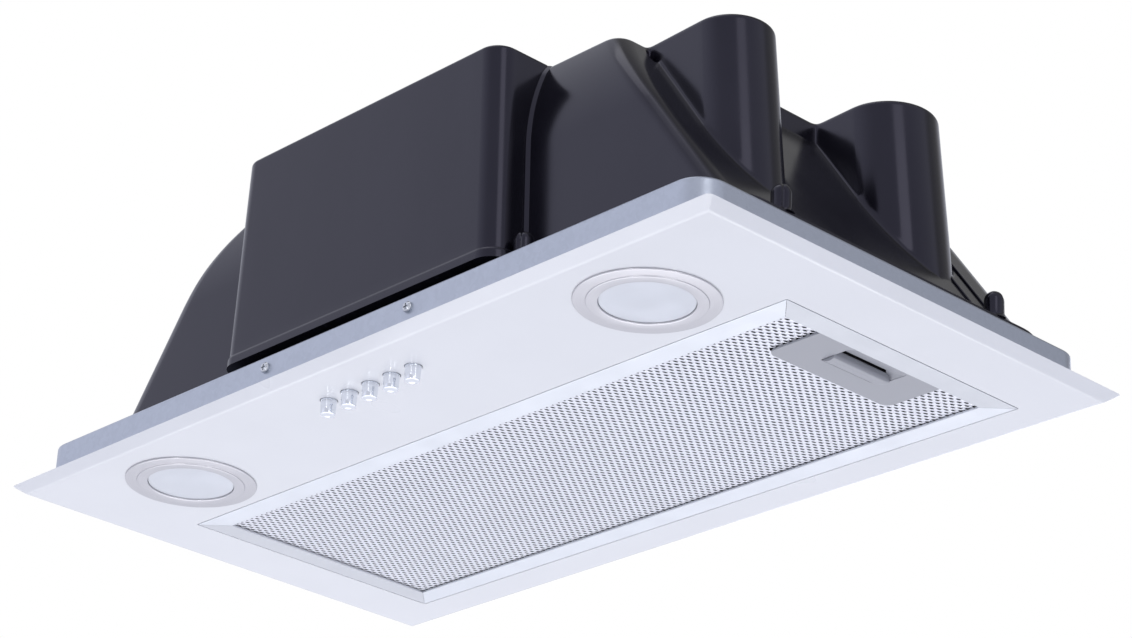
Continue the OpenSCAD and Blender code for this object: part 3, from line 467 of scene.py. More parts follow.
class Finishes:
    """Every finish on the hood, each material made once when it is first asked for."""

    ENAMEL = Enamel("white_enamel", "white_panel", tone(232, 233, 235))
    ZINC_SHEET = Galvanised("galvanised_sheet", "galvanised", tone(183, 189, 200))
    CHROME = Metal("chrome_plate", "chrome", tone(232, 235, 240), roughness=0.06, blotch=0.02)
    LENS = Frosted("lamp_cover", "lens", tone(222, 225, 230))
    ALUMINIUM = Metal(
        "anodised_profile", "bright_aluminium", tone(224, 227, 232), roughness=0.36, stretch=(0.02, 1, 1),
        lines=0.25, blotch=0.02, metallic=0.75)
    # Painted shade: the short bars are the same anodised profile as the long ones, in a darker colour for the
    # shade they lie in.
    ALUMINIUM_ACROSS = Metal(
        "anodised_profile_short_shaded", "bright_aluminium", tone(206, 208, 212), roughness=0.36,
        stretch=(1, 0.02, 1), lines=0.25, blotch=0.02, metallic=0.75)
    MESH = Metal(
        "expanded_aluminium", "mesh_aluminium", tone(234, 235, 241), roughness=0.34, lines=0.2, blotch=0.02,
        metallic=0.6)
    GREY = Moulded("grey_latch", "grey_plastic", tone(165, 166, 171), roughness=0.38, grain=0.015, cloud=0.02)
    BLACK = Moulded(
        "black_housing", "black_plastic", tone(9, 8, 15), roughness=0.17, grain=0.004, grain_size=0.5,
        cloud=0.3, gloss=0.5, sheen=(0.79, 0.765, 1.0, 1.0), rub=0.01)
    DARK = Moulded("dark_fittings", "dark_plastic", tone(34, 34, 38), roughness=0.42, grain=0.02, cloud=0.15)
    # Painted shade: a near-black finish for the slab inside the filter pack, standing for the shadow seen
    # through the mesh's holes.
    SHADE = Moulded(
        "mesh_painted_shade", "mesh_aluminium", tone(20, 20, 23), roughness=0.8, gloss=0.1, grain=0.05, cloud=0.3)
    # Painted shade: a near-black finish for a thin sheet behind the latch's lip, standing for the shadow in
    # the slot.
    SHADE_PAD = Moulded("grip_painted_shade", "grey_plastic", tone(14, 14, 16), roughness=0.8, gloss=0.1)
    SCREW = Metal("zinc_screw", "zinc_screw", tone(205, 208, 212), roughness=0.22, blotch=0.06)
    BOARD = Laminate("circuit_board", "board", tone(22, 92, 52))
    TERMINAL = Moulded("terminal_strip", "terminal_plastic", tone(214, 214, 206), roughness=0.45)
    FILM = Moulded("capacitor_case", "film_capacitor", tone(196, 186, 150), roughness=0.3)
    MOTOR = Metal(
        "motor_steel", "motor_steel", tone(150, 153, 158), roughness=0.45, stretch=(1, 1, 0.05), lines=0.3,
        blotch=0.08)
    SHAFT = Metal("shaft_steel", "shaft_steel", tone(206, 209, 213), roughness=0.2, blotch=0.04)
    BRONZE = Metal("bearing_bronze", "bronze", tone(176, 141, 87), roughness=0.35, blotch=0.08)
    RUBBER = Moulded("rubber_grommet", "rubber", tone(24, 24, 24), roughness=0.7, grain=0.03)

    _made: dict[str, Material] = {}

    @classmethod
    def material(cls, finish: Finish) -> Material:
        """The material of a finish, made on first use.

        Args:
            finish: The finish.

        Returns:
            Its material.
        """
        if finish.name not in cls._made:
            cls._made[finish.name] = finish.make()
        return cls._made[finish.name]


# Surfaces


def arc(cx: float, cy: float, radius: float, start: float, end: float, count: int) -> np.ndarray:
    """Points on a circle, count by 2: the centre plus radius times cosine and sine, the angles in degrees."""
    angle = np.radians(np.linspace(start, end, count))
    return np.c_[cx + radius * np.cos(angle), cy + radius * np.sin(angle)]


def ring(cx: float, cy: float, radius: float, count: int) -> np.ndarray:
    """A closed circle, count by 2, anticlockwise, without a doubled point."""
    return arc(cx, cy, radius, 0, 360, count + 1)[:-1]


def rect_loop(
    width: float, depth: float, radii: float | Sequence[float], steps: int, cx: float = 0.0, cy: float = 0.0
) -> np.ndarray:
    """A closed rectangle with round corners, anticlockwise from the corner at +x and +y.

    Args:
        width: Size along x.
        depth: Size along y.
        radii: One radius, or four in the order of the corners.
        steps: Steps in each corner.
        cx: Centre along x.
        cy: Centre along y.

    Returns:
        The points, 4 times steps + 1, by 2.
    """
    four = (radii,) * 4 if isinstance(radii, (int, float)) else tuple(radii)
    signs = ((1, 1), (-1, 1), (-1, -1), (1, -1))
    return np.vstack([
        arc(cx + sx * (width / 2 - r), cy + sy * (depth / 2 - r), r, 90 * i, 90 * i + 90, steps + 1)
        for i, ((sx, sy), r) in enumerate(zip(signs, four))
    ])


def inset(loop: np.ndarray, distance: float) -> np.ndarray:
    """Moves a closed anticlockwise loop inwards: each point goes along the mean of its two edges' normals.

    Args:
        loop: The loop, n by 2.
        distance: How far; negative is outwards.

    Returns:
        The moved loop.
    """
    nothing, least_share = 1e-9, 0.35
    ahead = np.roll(loop, -1, 0) - loop
    length = np.hypot(ahead[:, 0], ahead[:, 1])[:, None]
    normal = np.c_[-ahead[:, 1], ahead[:, 0]] / np.where(length < nothing, 1, length)
    for _ in range(3):
        normal = np.where(length < nothing, np.roll(normal, -1, 0), normal)
    mean = normal + np.roll(normal, 1, 0)
    mean /= np.maximum(np.hypot(mean[:, 0], mean[:, 1])[:, None], nothing)
    share = np.maximum((mean * normal).sum(1)[:, None], least_share)
    return loop + mean * distance / share


def fillet(corners: Sequence[Sequence[float]], steps: int, closed: bool = False) -> np.ndarray:
    """Rounds the corners of a profile: each corner becomes an arc that touches both its edges.

    Args:
        corners: Each corner's two coordinates and its radius, 0 for a sharp one.
        steps: Steps in each arc.
        closed: Whether the profile closes on itself.

    Returns:
        The rounded profile, n by 2.
    """
    most_of_edge = 0.49
    table = np.asarray(corners, float)
    given, last = table[:, :2], len(table) - 1
    made = []
    for i, (corner, radius) in enumerate(zip(given, table[:, 2].tolist())):
        if radius <= 0 or (not closed and i in (0, last)):
            made.append(corner[None])
            continue
        back, ahead = given[i - 1] - corner, given[(i + 1) % len(given)] - corner
        back_length, ahead_length = np.linalg.norm(back), np.linalg.norm(ahead)
        back, ahead = back / back_length, ahead / ahead_length
        half = math.acos(float(np.clip(back @ ahead, -1, 1))) / 2
        reach = min(radius / math.tan(half), most_of_edge * back_length, most_of_edge * ahead_length)
        true_radius = reach * math.tan(half)
        centre = corner + (back + ahead) / np.linalg.norm(back + ahead) * true_radius / math.sin(half)
        first, second = corner + back * reach - centre, corner + ahead * reach - centre
        turn = math.pi - 2 * half
        share = np.linspace(0, 1, steps + 1)[:, None]
        spoke = np.sin((1 - share) * turn) * first + np.sin(share * turn) * second
        made.append(centre + spoke / math.sin(turn))
    return np.vstack(made)


def lift(loop: np.ndarray, height: float) -> np.ndarray:
    """Gives a flat loop, n by 2, a height."""
    return np.c_[loop, np.full(len(loop), height)]


def carried(
    section: Iterable[Sequence[float]],
    width: float,
    depth: float,
    corner: float,
    steps: int,
    least: float = 0.0,
) -> list[np.ndarray]:
    """Carries a section round a rectangle with round corners: each of its points becomes a loop.

    Args:
        section: The section's points as distance in from the edge and height.
        width: The rectangle's size along x.
        depth: Its size along y.
        corner: Its corners' radius.
        steps: Steps in each corner.
        least: The smallest radius of a loop's corners.

    Returns:
        The loops, each n by 3.
    """
    return [
        lift(rect_loop(width - 2 * d, depth - 2 * d, max(corner - d, least), steps), z) for d, z in section
    ]


def sweep(path: np.ndarray, section: np.ndarray, side: np.ndarray, out: np.ndarray) -> np.ndarray:
    """A section's two coordinates along two directions, added to each point of a path, n by m by 3."""
    return path[:, None] + section[None, :, :1] * side[:, None] + section[None, :, 1:] * out[:, None]


class Shell:
    """Patches of surface that are welded into one mesh."""

    def __init__(self) -> None:
        """Starts with no patches."""
        self.points: list[np.ndarray] = []
        self.faces: list[list[int]] = []
        self.count = 0

    def take(self, points: np.ndarray) -> int:
        """Stores points.

        Args:
            points: The points, their last axis the coordinates.

        Returns:
            The first one's index.
        """
        start = self.count
        self.points.append(points.reshape(-1, 3))
        self.count += len(self.points[-1])
        return start

    def grid(self, points: np.ndarray, wrap_rows: bool = False, wrap_cols: bool = False) -> "Shell":
        """Adds a surface over a grid of two parameters.

        Args:
            points: The grid, rows by columns by 3.
            wrap_rows: Whether the last row joins the first.
            wrap_cols: Whether the last column joins the first.

        Returns:
            The shell itself.
        """
        rows, cols = points.shape[:2]
        index = np.arange(rows * cols).reshape(rows, cols) + self.take(points)
        below = index if wrap_rows else index[:-1]
        above = np.roll(index, -1, 0) if wrap_rows else index[1:]
        if wrap_cols:
            quads = np.stack([below, np.roll(below, -1, 1), np.roll(above, -1, 1), above], -1)
        else:
            quads = np.stack([below[:, :-1], below[:, 1:], above[:, 1:], above[:, :-1]], -1)
        self.faces.extend(quads.reshape(-1, 4).tolist())
        return self

    def cap(self, loop: np.ndarray) -> "Shell":
        """Closes a loop with one flat face.

        Args:
            loop: The loop, n by 3.

        Returns:
            The shell itself.
        """
        start = self.take(loop)
        self.faces.append(list(range(start, start + len(loop))))
        return self

    def region(self, outer: np.ndarray, holes: Sequence[np.ndarray], height: float) -> "Shell":
        """Fills the flat region between a loop and its holes.

        It keeps the triangles whose middle lies inside an odd number of loops.

        Args:
            outer: The outer loop, n by 2.
            holes: Loops of the holes.
            height: The region's height.

        Returns:
            The shell itself.
        """
        loops = [outer, *holes]
        flat = np.vstack(loops)
        ends = np.cumsum([0] + [len(loop) for loop in loops])
        edges = [(a + i, a + (i + 1) % (b - a)) for a, b in zip(ends[:-1], ends[1:]) for i in range(b - a)]
        verts, _, faces, *_ = delaunay_2d_cdt([Vector(p) for p in flat.tolist()], edges, [], 0, 1e-6)
        spots = np.array([tuple(v) for v in verts])
        triangles = np.array(faces)
        middle = spots[triangles].mean(1)
        crossings = np.zeros(len(middle), int)
        for loop in loops:
            a, b = loop, np.roll(loop, -1, 0)
            spans = (a[:, 1] > middle[:, 1:]) != (b[:, 1] > middle[:, 1:])
            rise = np.where(a[:, 1] == b[:, 1], 1, b[:, 1] - a[:, 1])
            where = a[:, 0] + (middle[:, 1:] - a[:, 1]) / rise * (b[:, 0] - a[:, 0])
            crossings += (spans & (middle[:, :1] < where)).sum(1)
        start = self.take(lift(spots, height))
        self.faces.extend((triangles[crossings % 2 == 1] + start).tolist())
        return self

    def slab(
        self, outer: np.ndarray, holes: Sequence[np.ndarray], low: float, high: float, edge: float = 0.0,
        steps: int = 3
    ) -> "Shell":
        """Adds a flat plate with holes: each wall is its loop, moved in along a quarter circle at both faces.

        Args:
            outer: The outer loop, anticlockwise.
            holes: Loops of the holes, anticlockwise.
            low: Height of the lower face.
            high: Height of the upper face.
            edge: Radius of the edges.
            steps: Steps in each edge.

        Returns:
            The shell itself.
        """
        angle = np.linspace(0, QUARTER, steps + 1) if edge else np.array([QUARTER])
        pull = edge * (1 - np.sin(angle))
        rise = edge * (1 - np.cos(angle))
        for loop, way in [(outer, 1), *((hole, -1) for hole in holes)]:
            up = [lift(inset(loop, way * p), low + r) for p, r in zip(pull, rise)]
            down = [lift(inset(loop, way * p), high - r) for p, r in zip(pull[::-1], rise[::-1])]
            self.grid(np.stack(up + down), wrap_cols=True)
        face = inset(outer, edge), [inset(hole, -edge) for hole in holes]
        return self.region(*face, low).region(*face, high)

    def turned(
        self, profile: np.ndarray, segments: int, cx: float, cy: float, closed: bool = False
    ) -> "Shell":
        """Adds a turned surface: x and y are the radius times cosine and sine of the angle round an axis.

        An open profile that starts or ends on the axis closes there.

        Args:
            profile: Radius and height, n by 2.
            segments: Steps round.
            cx: Axis, along x.
            cy: Axis, along y.
            closed: Whether the profile closes on itself.

        Returns:
            The shell itself.
        """
        angle = np.linspace(0, TAU, segments, endpoint=False)
        radius, height = profile[:, :1], profile[:, 1:]
        points = [cx + radius * np.cos(angle), cy + radius * np.sin(angle), height + 0 * angle]
        return self.grid(np.stack(points, -1), wrap_rows=closed, wrap_cols=True)

    def tube(self, points: np.ndarray) -> "Shell":
        """Adds a swept solid with flat ends: a grid of sections by points by 3."""
        return self.grid(points, wrap_cols=True).cap(points[0]).cap(points[-1])

    def build(
        self,
        name: str,
        finish: Finish,
        body: Body | str = Body.HOOD,
        replaces: Iterable[str] = (),
        sharp: float = 35.0,
        outward: bool = True,
    ) -> Object:
        """Welds the patches, makes the object and hands it to the frame.

        Args:
            name: The piece's name.
            finish: Its finish.
            body: The body that it rides on.
            replaces: Nodes that it stands for.
            sharp: Edges that turn more than this, in degrees, stay sharp.
            outward: Whether the faces are turned outwards, as on a closed shell.

        Returns:
            The piece.
        """
        mesh = bpy.data.meshes.new(name)
        mesh.from_pydata((np.vstack(self.points) * MM).tolist(), [], self.faces)
        work = bmesh.new()
        work.from_mesh(mesh)
        bmesh.ops.remove_doubles(work, verts=work.verts, dist=WELD)
        bmesh.ops.dissolve_degenerate(work, edges=work.edges, dist=1e-7)
        if outward:
            bmesh.ops.recalc_face_normals(work, faces=work.faces)
        work.to_mesh(mesh)
        work.free()
        mesh.shade_smooth()
        mesh.set_sharp_from_angle(angle=math.radians(sharp))
        mesh.materials.append(Finishes.material(finish))
        piece = bpy.data.objects.new(name, mesh)
        bpy.context.scene.collection.objects.link(piece)
        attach(piece, body.value if isinstance(body, Body) else body)
        nodes = tuple(replaces)
        if nodes:
            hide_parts(*nodes)
        LOG.info("%s: %d faces", name, len(mesh.polygons))
        return piece


def even_shading(piece: Object) -> None:
    """Lets a piece's large flat faces rule the shading next to their rounded edges.

    Args:
        piece: The piece.
    """
    modifier = piece.modifiers.new("even_shading", "WEIGHTED_NORMAL")
    modifier.keep_sharp = True
    modifier.weight = 90


def dress(node: str, finish: Finish, edge: float = 0.0) -> None:
    """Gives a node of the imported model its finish, and a small round on its edges.

    Args:
        node: The node's name.
        finish: Its finish.
        edge: Width of the round, 0 for none.
    """
    piece = bpy.data.objects[node]
    piece.data.materials.clear()
    piece.data.materials.append(Finishes.material(finish))
    piece.data.shade_smooth()
    piece.modifiers.new("weld", "WELD").merge_threshold = WELD
    if edge:
        bevel = piece.modifiers.new("edge", "BEVEL")
        bevel.width = edge * MM
        bevel.segments = 2
        bevel.limit_method = "ANGLE"
        bevel.angle_limit = math.radians(40)
        bevel.use_clamp_overlap = True
        bevel.harden_normals = False
    even_shading(piece)
    LOG.info("%s: dressed", node)


# The hood


@dataclass
class Fascia:
    """The pressed white panel: a flat sheet with openings and a bevelled rim.

    Attributes:
        tip: Where the bevel meets the outermost round, in from the edge and up.
        bends: Radii of the bend outside, at the tip and inside.
        lamp: Middle x and y of a lamp's hole, and its radius.
        button: The third button's x, the pitch, the row's y and the holes' radius.
        opening: Width, depth and middle y of the filter's opening.
    """

    width: float = 525.0
    depth: float = 290.0
    drop: float = 4.5
    run: float = 6.7
    sheet: float = 1.2
    corner: float = 3.0
    least_corner: float = 0.7
    flat: float = 8.0
    tip: Pair = (0.2, -0.15)
    bends: Triple = (4.0, 0.4, 2.6)
    lip: float = 0.45
    lamp: Triple = (171.8, -91.6, 31.0)
    button: Quad = (0.5, 16.0, -113.0, 4.5)
    opening: Triple = (441.2, 167.5, 33.65)
    opening_corner: float = 0.9

    def section(self) -> np.ndarray:
        """The rim's section as distance in from the outer edge and height.

        It runs from the flat's lower face down the bevel, round the tip and back to the flat's upper face.

        Returns:
            The section, n by 2.
        """
        outer_bend, tip_bend, inner_bend = self.bends
        end, upper = self.run + self.flat, self.sheet - self.drop
        side = self.sheet * math.hypot(self.drop, self.run) / self.drop
        outer = fillet([(end, -self.drop, 0), (self.run, -self.drop, outer_bend), (*self.tip, 0)], 8)
        tip = fillet([(*self.tip, 0), (0, 0, tip_bend), (side - 0.3, 0, 0)], 3)
        inner = fillet([(side, 0, 0), (self.run + 1.1, upper, inner_bend), (end, upper, 0)], 6)
        return np.vstack([outer[:-1], tip, inner])

    def holes(self) -> list[np.ndarray]:
        """The openings for the filter, the lamps and the buttons.

        Returns:
            Their loops, each n by 2.
        """
        middle_x, pitch, y, radius = self.button
        lamp_x, lamp_y, lamp_r = self.lamp
        wide, deep, middle = self.opening
        return [
            rect_loop(wide, deep, self.opening_corner, 4, 0, middle),
            ring(-lamp_x, lamp_y, lamp_r, 72),
            ring(lamp_x, lamp_y, lamp_r, 72),
            *(ring(middle_x + pitch * i, y, radius, 32) for i in range(-2, 3)),
        ]

    def build(self) -> None:
        """Makes the panel: its rim carried round the outline, and the flat from there to the openings."""
        shell = Shell()
        loops = carried(self.section(), self.width, self.depth, self.corner, 6, self.least_corner)
        shell.grid(np.stack(loops), wrap_cols=True)
        holes, upper = self.holes(), self.sheet - self.drop
        angle = np.linspace(0, QUARTER, 4)
        for hole in holes:
            rows = [
                lift(inset(hole, -self.lip * (1 - math.sin(a))), -self.drop + self.lip * (1 - math.cos(a)))
                for a in angle
            ]
            shell.grid(np.stack([*rows, lift(hole, upper)]), wrap_cols=True)
        shell.region(loops[0][:, :2], [inset(hole, -self.lip) for hole in holes], -self.drop)
        shell.region(loops[-1][:, :2], holes, upper)
        even_shading(shell.build("fascia_sheet", Finishes.ENAMEL, replaces=["fascia_panel"], sharp=50))


@dataclass
class MountingBand:
    """The galvanised band behind the panel: an upright wall, its turned-in lip and the cabinet flange.

    Attributes:
        lip: Width and depth of the opening in the lip.
        flange: Width and depth of the flange.
        bolt: x and y of a screw hole, and its radius.
        overlap: How far the flange reaches into the wall.
    """

    width: float = 494.6
    depth: float = 269.6
    height: float = 20.6
    sheet: float = 1.0
    corner: float = 15.0
    bend: float = 1.6
    inner_bend: float = 0.6
    lip: Pair = (466.6, 225.6)
    lip_corner: float = 2.0
    flange: Pair = (517.118, 282.118)
    bolt: Triple = (252.929, 100.0, 2.25)
    overlap: float = 0.4
    low: float = -3.3
    steps: int = 10

    def build(self) -> None:
        """Makes the wall, from its foot over the bend to the lip and back inside, and the flange."""
        outline = (self.width, self.depth, self.corner, self.steps)
        under = self.height - self.sheet
        turn = np.linspace(0, QUARTER, 6)
        bend = zip(self.bend * (1 - np.cos(turn)), self.height - self.bend * (1 - np.sin(turn)))
        outside = [(0, self.low), *bend]
        inside = [
            (self.sheet + self.inner_bend, under),
            (self.sheet, under - self.inner_bend),
            (self.sheet, self.low),
        ]
        lip = [lift(rect_loop(*self.lip, self.lip_corner, self.steps), z) for z in (self.height, under)]
        rows = [*carried(outside, *outline), *lip, *carried(inside, *outline)]
        shell = Shell().grid(np.stack(rows), wrap_rows=True, wrap_cols=True)
        x, y, radius = self.bolt
        bolts = [ring(sx * x, sy * y, radius, 24) for sx in (-1, 1) for sy in (-1, 1)]
        inner = rect_loop(
            self.width - 2 * self.overlap, self.depth - 2 * self.overlap, self.corner - self.overlap,
            self.steps)
        shell.slab(rect_loop(*self.flange, self.corner, self.steps), [inner, *bolts], -self.sheet, 0, 0.2, 2)
        even_shading(shell.build("mounting_band", Finishes.ZINC_SHEET, replaces=["mounting_frame"], sharp=40))
        for node in ("fascia_brackets", "switch_bracket", "hinge_brackets"):
            dress(node, Finishes.ZINC_SHEET, 0.2)
        dress("frame_screws", Finishes.SCREW, 0.12)
        dress("switch_module", Finishes.DARK, 0.3)


@dataclass
class Lamp:
    """One lamp: its turned bezel, frosted lens, body and clips.

    Attributes:
        body_step: Where the body's step starts and ends, above the panel's face.
        vent: Radius and depth of the hollow in the body's top.
    """

    side: Side
    x: float = Fascia.lamp[0]
    y: float = Fascia.lamp[1]
    panel: float = -Fascia.drop
    outer: float = 35.0
    step: float = 28.6
    lens: float = 22.7
    lens_gap: float = 0.2
    lens_flange: float = 4.3
    dome: float = 0.55
    lip: float = 1.8
    seat: float = 0.6
    bezel_back: float = 3.5
    lens_back: float = 1.8
    neck: float = 30.5
    neck_wall: float = 1.3
    body_gap: float = 1.6
    body_seat: float = 1.9
    body_step: Pair = (7.0, 8.0)
    body_top: float = 13.7
    vent: Pair = (8.0, 1.5)

    def build_bezel(self) -> None:
        """Makes the turned ring, with its raised step and polished rim."""
        word, cx, z = self.side.word, self.side.value * self.x, self.panel
        bore, low, thin = self.lens + self.lens_gap, z - self.lip, self.neck - self.neck_wall
        back, rear = z + self.seat, z + self.bezel_back
        bezel = fillet(
            [
                (bore, back, 0.1),
                (bore, low, 0.55),
                (self.step, low, 0.4),
                (self.step + 0.25, low + 0.7, 0.2),
                (self.outer, low + 0.75, 0.75),
                (self.outer, z, 0.15),
                (self.neck, z, 0),
                (self.neck, rear, 0.2),
                (thin, rear, 0.2),
                (thin, back, 0.2),
            ],
            5, closed=True)
        finish = Turned(f"satin_ring_{word}", "satin_steel", tone(200, 199, 203), (cx, self.y), 0.33, 0.3)
        Shell().turned(bezel, 120, cx, self.y, closed=True).build(
            f"bezel_{word}", finish, replaces=[f"lamp_bezel_{word}"], sharp=60)

    def build_lens(self) -> None:
        """Makes the frosted lens: its domed face, height over the square of the radius, and its flange."""
        word, cx, z = self.side.word, self.side.value * self.x, self.panel
        low, back, top = z - self.lip, z + self.seat, z + self.lens_back
        share = np.linspace(0, 1, 9)
        face = np.c_[self.lens * share, low + 0.45 + self.dome * share**2]
        flange = self.lens + self.lens_flange
        rest = np.array([(self.lens, back), (flange, back), (flange, top), (0, top)])
        Shell().turned(np.vstack([face, rest]), 96, cx, self.y).build(
            f"lens_{word}", Finishes.LENS, replaces=[f"lamp_lens_{word}"], sharp=40)

    def build_body(self) -> None:
        """Makes the stepped body with the hollow in its top, and dresses the clips."""
        word, cx, z = self.side.word, self.side.value * self.x, self.panel
        radius, top, seat = self.neck - self.body_gap, self.body_top, z + self.body_seat
        step_low, step_high = self.body_step
        vent, sunk = self.vent
        body = fillet(
            [
                (0, seat, 0),
                (radius - 3, seat, 0),
                (radius, seat, 0.5),
                (radius, z + step_low, 0.4),
                (radius - 1, z + step_high, 0.4),
                (radius - 1, top - 3, 0.5),
                (radius - 4, top, 1.5),
                (vent, top, 0.4),
                (vent, top - sunk, 0.4),
                (0, top - sunk, 0),
            ],
            3)
        Shell().turned(body, 64, cx, self.y).build(
            f"lamp_shell_{word}", Finishes.DARK, replaces=[f"lamp_body_{word}"])
        dress(f"lamp_clips_{word}", Finishes.SHAFT, 0.1)

    def build(self) -> None:
        """Makes the ring, the lens and the body behind."""
        self.build_bezel()
        self.build_lens()
        self.build_body()


@dataclass
class Buttons:
    """Five chrome push buttons: a collar line, a tapered cap with a rounded rim and a dished end."""

    middle: float = Fascia.button[0]
    pitch: float = Fascia.button[1]
    y: float = Fascia.button[2]
    panel: float = -Fascia.drop
    radius: float = 4.2
    end: float = 3.75
    rim: float = 0.9
    hollow: float = 0.35
    groove: float = 0.35
    out: float = 7.7
    stem: float = 12.5

    def build(self) -> None:
        """Makes each button as one turned profile, from the middle of its end up to the top of its stem."""
        z, low = self.panel, self.panel - self.out
        inner, neck, top = self.end - self.rim, self.radius - self.groove, self.panel + self.stem
        dish = np.linspace(0, 1, 6)
        end = np.c_[inner * dish, low + self.hollow - self.hollow * dish**2]
        side = fillet(
            [
                (inner, low, 0),
                (self.end, low, 0.55),
                (self.radius - 0.08, z - 0.75, 0.15),
                (neck, z - 0.6, 0.1),
                (neck, z - 0.2, 0.1),
                (self.radius, z - 0.1, 0),
                (self.radius, top, 0.3),
                (0, top, 0),
            ],
            4)
        profile = np.vstack([end, side[1:]])
        for number in range(1, 6):
            Shell().turned(profile, 48, self.middle + self.pitch * (number - 3), self.y).build(
                f"push_cap_{number}", Finishes.CHROME, f"button_{number}_body", [f"button_{number}"], 30)


@dataclass(frozen=True)
class Latch:
    """The latch in the filter's right end: a plate with a finger recess, and the slider's grip and tongue.

    Attributes:
        recess: The recess's lowest and highest x, then its lowest and highest y.
        far_turns: Radii of its right corners, the rear one first.
        floor_ends: How far the middles of its floor's corners lie from the front and the rear end.
        slope: Share of the way from mouth to floor, and the depth there.
        lip: Points of the grip's section: x, height over the face and radius.
        pinch: Share of the lip's height that is kept, and share that shrinks with its reach.
        tongue: Start x, end x, width and corner radius.
        case: How much wider and deeper it is than the recess, its shift to the left and corner radius.
        pad: A near-black sheet of painted shade in the slot behind the grip's lip: its thickness, length less
            than the recess's, corner radius and its middle's distance to the grip.
    """

    left: float = 172.9
    right: float = 206.9
    middle: float = 30.75
    half: float = 43.25
    face: float = -4.4
    sheet: float = 1.2
    plate_corners: Quad = (0.4, 5.0, 5.0, 0.4)
    recess: Quad = (186.8, 206.4, 10.5, 51.0)
    turn: float = 5.5
    far_turns: Pair = (2.0, 4.5)
    floor: float = 197.2
    floor_turn: float = 0.5
    floor_ends: Pair = (1.5, 6.0)
    slope: tuple[Pair, ...] = (
        (0, 0.3), (0.08, 0.45), (0.3, 1.0), (0.6, 1.9), (0.9, 2.8), (1.0, 3.2), (1.0, 6.1))
    back: float = 195.4
    gap: float = 0.6
    lip: tuple[Triple, ...] = (
        (187.7, -0.12, 0.1), (187.9, -0.6, 0.4), (189.8, -1.55, 1.6), (192.6, -1.75, 2.2),
        (195.0, -1.15, 0.9), (195.4, 0.3, 0.3), (195.4, 6.3, 0.2), (193.9, 6.3, 0.2), (193.9, -0.12, 0.3))
    pinch: Pair = (0.35, 0.65)
    tongue: Quad = (192.0, 220.0, 17.0, 1.0)
    tongue_levels: Pair = (2.0, 3.3)
    case: Quad = (4.4, 2.6, 1.8, 0.5)
    case_levels: Pair = (1.1, 6.2)
    pad: Quad = (0.3, 1.4, 0.05, 0.16)
    pad_levels: Pair = (3.1, 6.0)

    def build_plate(self) -> None:
        """Makes the plate and its recess: the mouth's loop, drawn step by step to the floor's as it sinks."""
        x0, x1, y0, y1 = self.recess
        z, (top_turn, low_turn), (low_end, top_end) = self.face, self.far_turns, self.floor_ends
        across, middle_y = (self.left + self.right) / 2, (y0 + y1) / 2
        near = np.vstack([arc(x0 + self.turn, y1 - self.turn, self.turn, 90, 180, 9), [(x0, y0)]])
        mouth = np.vstack([
            arc(x1 - top_turn, y1 - top_turn, top_turn, 0, 90, 9), near,
            arc(x1 - low_turn, y0 + low_turn, low_turn, -90, 0, 9)])
        floor = np.vstack([
            arc(self.floor, y1 - top_end, self.floor_turn, 0, 90, 9), near,
            arc(self.floor, y0 + low_end, self.floor_turn, -90, 0, 9)])
        plate = rect_loop(self.right - self.left, 2 * self.half, self.plate_corners, 6, across, self.middle)
        shell = Shell().slab(plate, [mouth], z, z + self.sheet, 0.25, 2)
        rows = [lift(mouth * (1 - share) + floor * share, z + depth) for share, depth in self.slope]
        shell.grid(np.stack(rows), wrap_cols=True).cap(rows[-1])
        more_x, more_y, shift, corner = self.case
        low, high = (z + level for level in self.case_levels)
        case = rect_loop(x1 - x0 + more_x, y1 - y0 + more_y, corner, 2, (x0 + x1) / 2 - shift, middle_y)
        shell.grid(np.stack([lift(case, low), lift(case, high)]), wrap_cols=True)
        shell.region(case, [], high)
        even_shading(shell.build("latch_cover", Finishes.GREY, Body.FILTER, ["latch_plate"]))

    def build_grip(self) -> None:
        """Makes the grip's lip, which runs out along the recess's round corner, its tongue, and a near-black
        sheet of painted shade behind the lip.
        """
        x0, _, y0, y1 = self.recess
        z, reach = self.face, self.turn - self.gap
        section = fillet([(x, z + height, radius) for x, height, radius in self.lip], 4, closed=True)
        theta = np.radians(np.linspace(0, 90, 10))
        y = np.r_[y0 + 0.12, y1 - self.turn + reach * np.sin(theta)]
        left = np.r_[x0 + self.gap, x0 + self.turn - reach * np.cos(theta)]
        share = ((self.back - left) / (self.back - left[0]))[:, None]
        height = section[:, 1] - z
        x = self.back - (self.back - section[:, 0]) * share
        kept, scaled = self.pinch
        lower = np.where(height < 0, height * (kept + scaled * share), height)
        slider = Shell().tube(np.stack([x, np.broadcast_to(y[:, None], x.shape), z + lower], -1))
        start, end, wide, corner = self.tongue
        tongue = rect_loop(end - start, wide, corner, 3, (end + start) / 2, self.middle)
        slider.slab(tongue, [], *self.tongue_levels, 0.2, 2)
        even_shading(slider.build("latch_grip", Finishes.GREY, Body.LATCH, ["latch_slider"], 40))
        # Painted shade: a near-black sheet on the lip's back wall, where the slot lies in shadow.
        thick, shorter, corner, behind = self.pad
        low, high = (z + level for level in self.pad_levels)
        pad = rect_loop(thick, y1 - y0 - shorter, corner, 1, self.back + behind, (y1 + y0) / 2)
        Shell().slab(pad, [], low, high).build("grip_painted_shade", Finishes.SHADE_PAD, Body.LATCH)


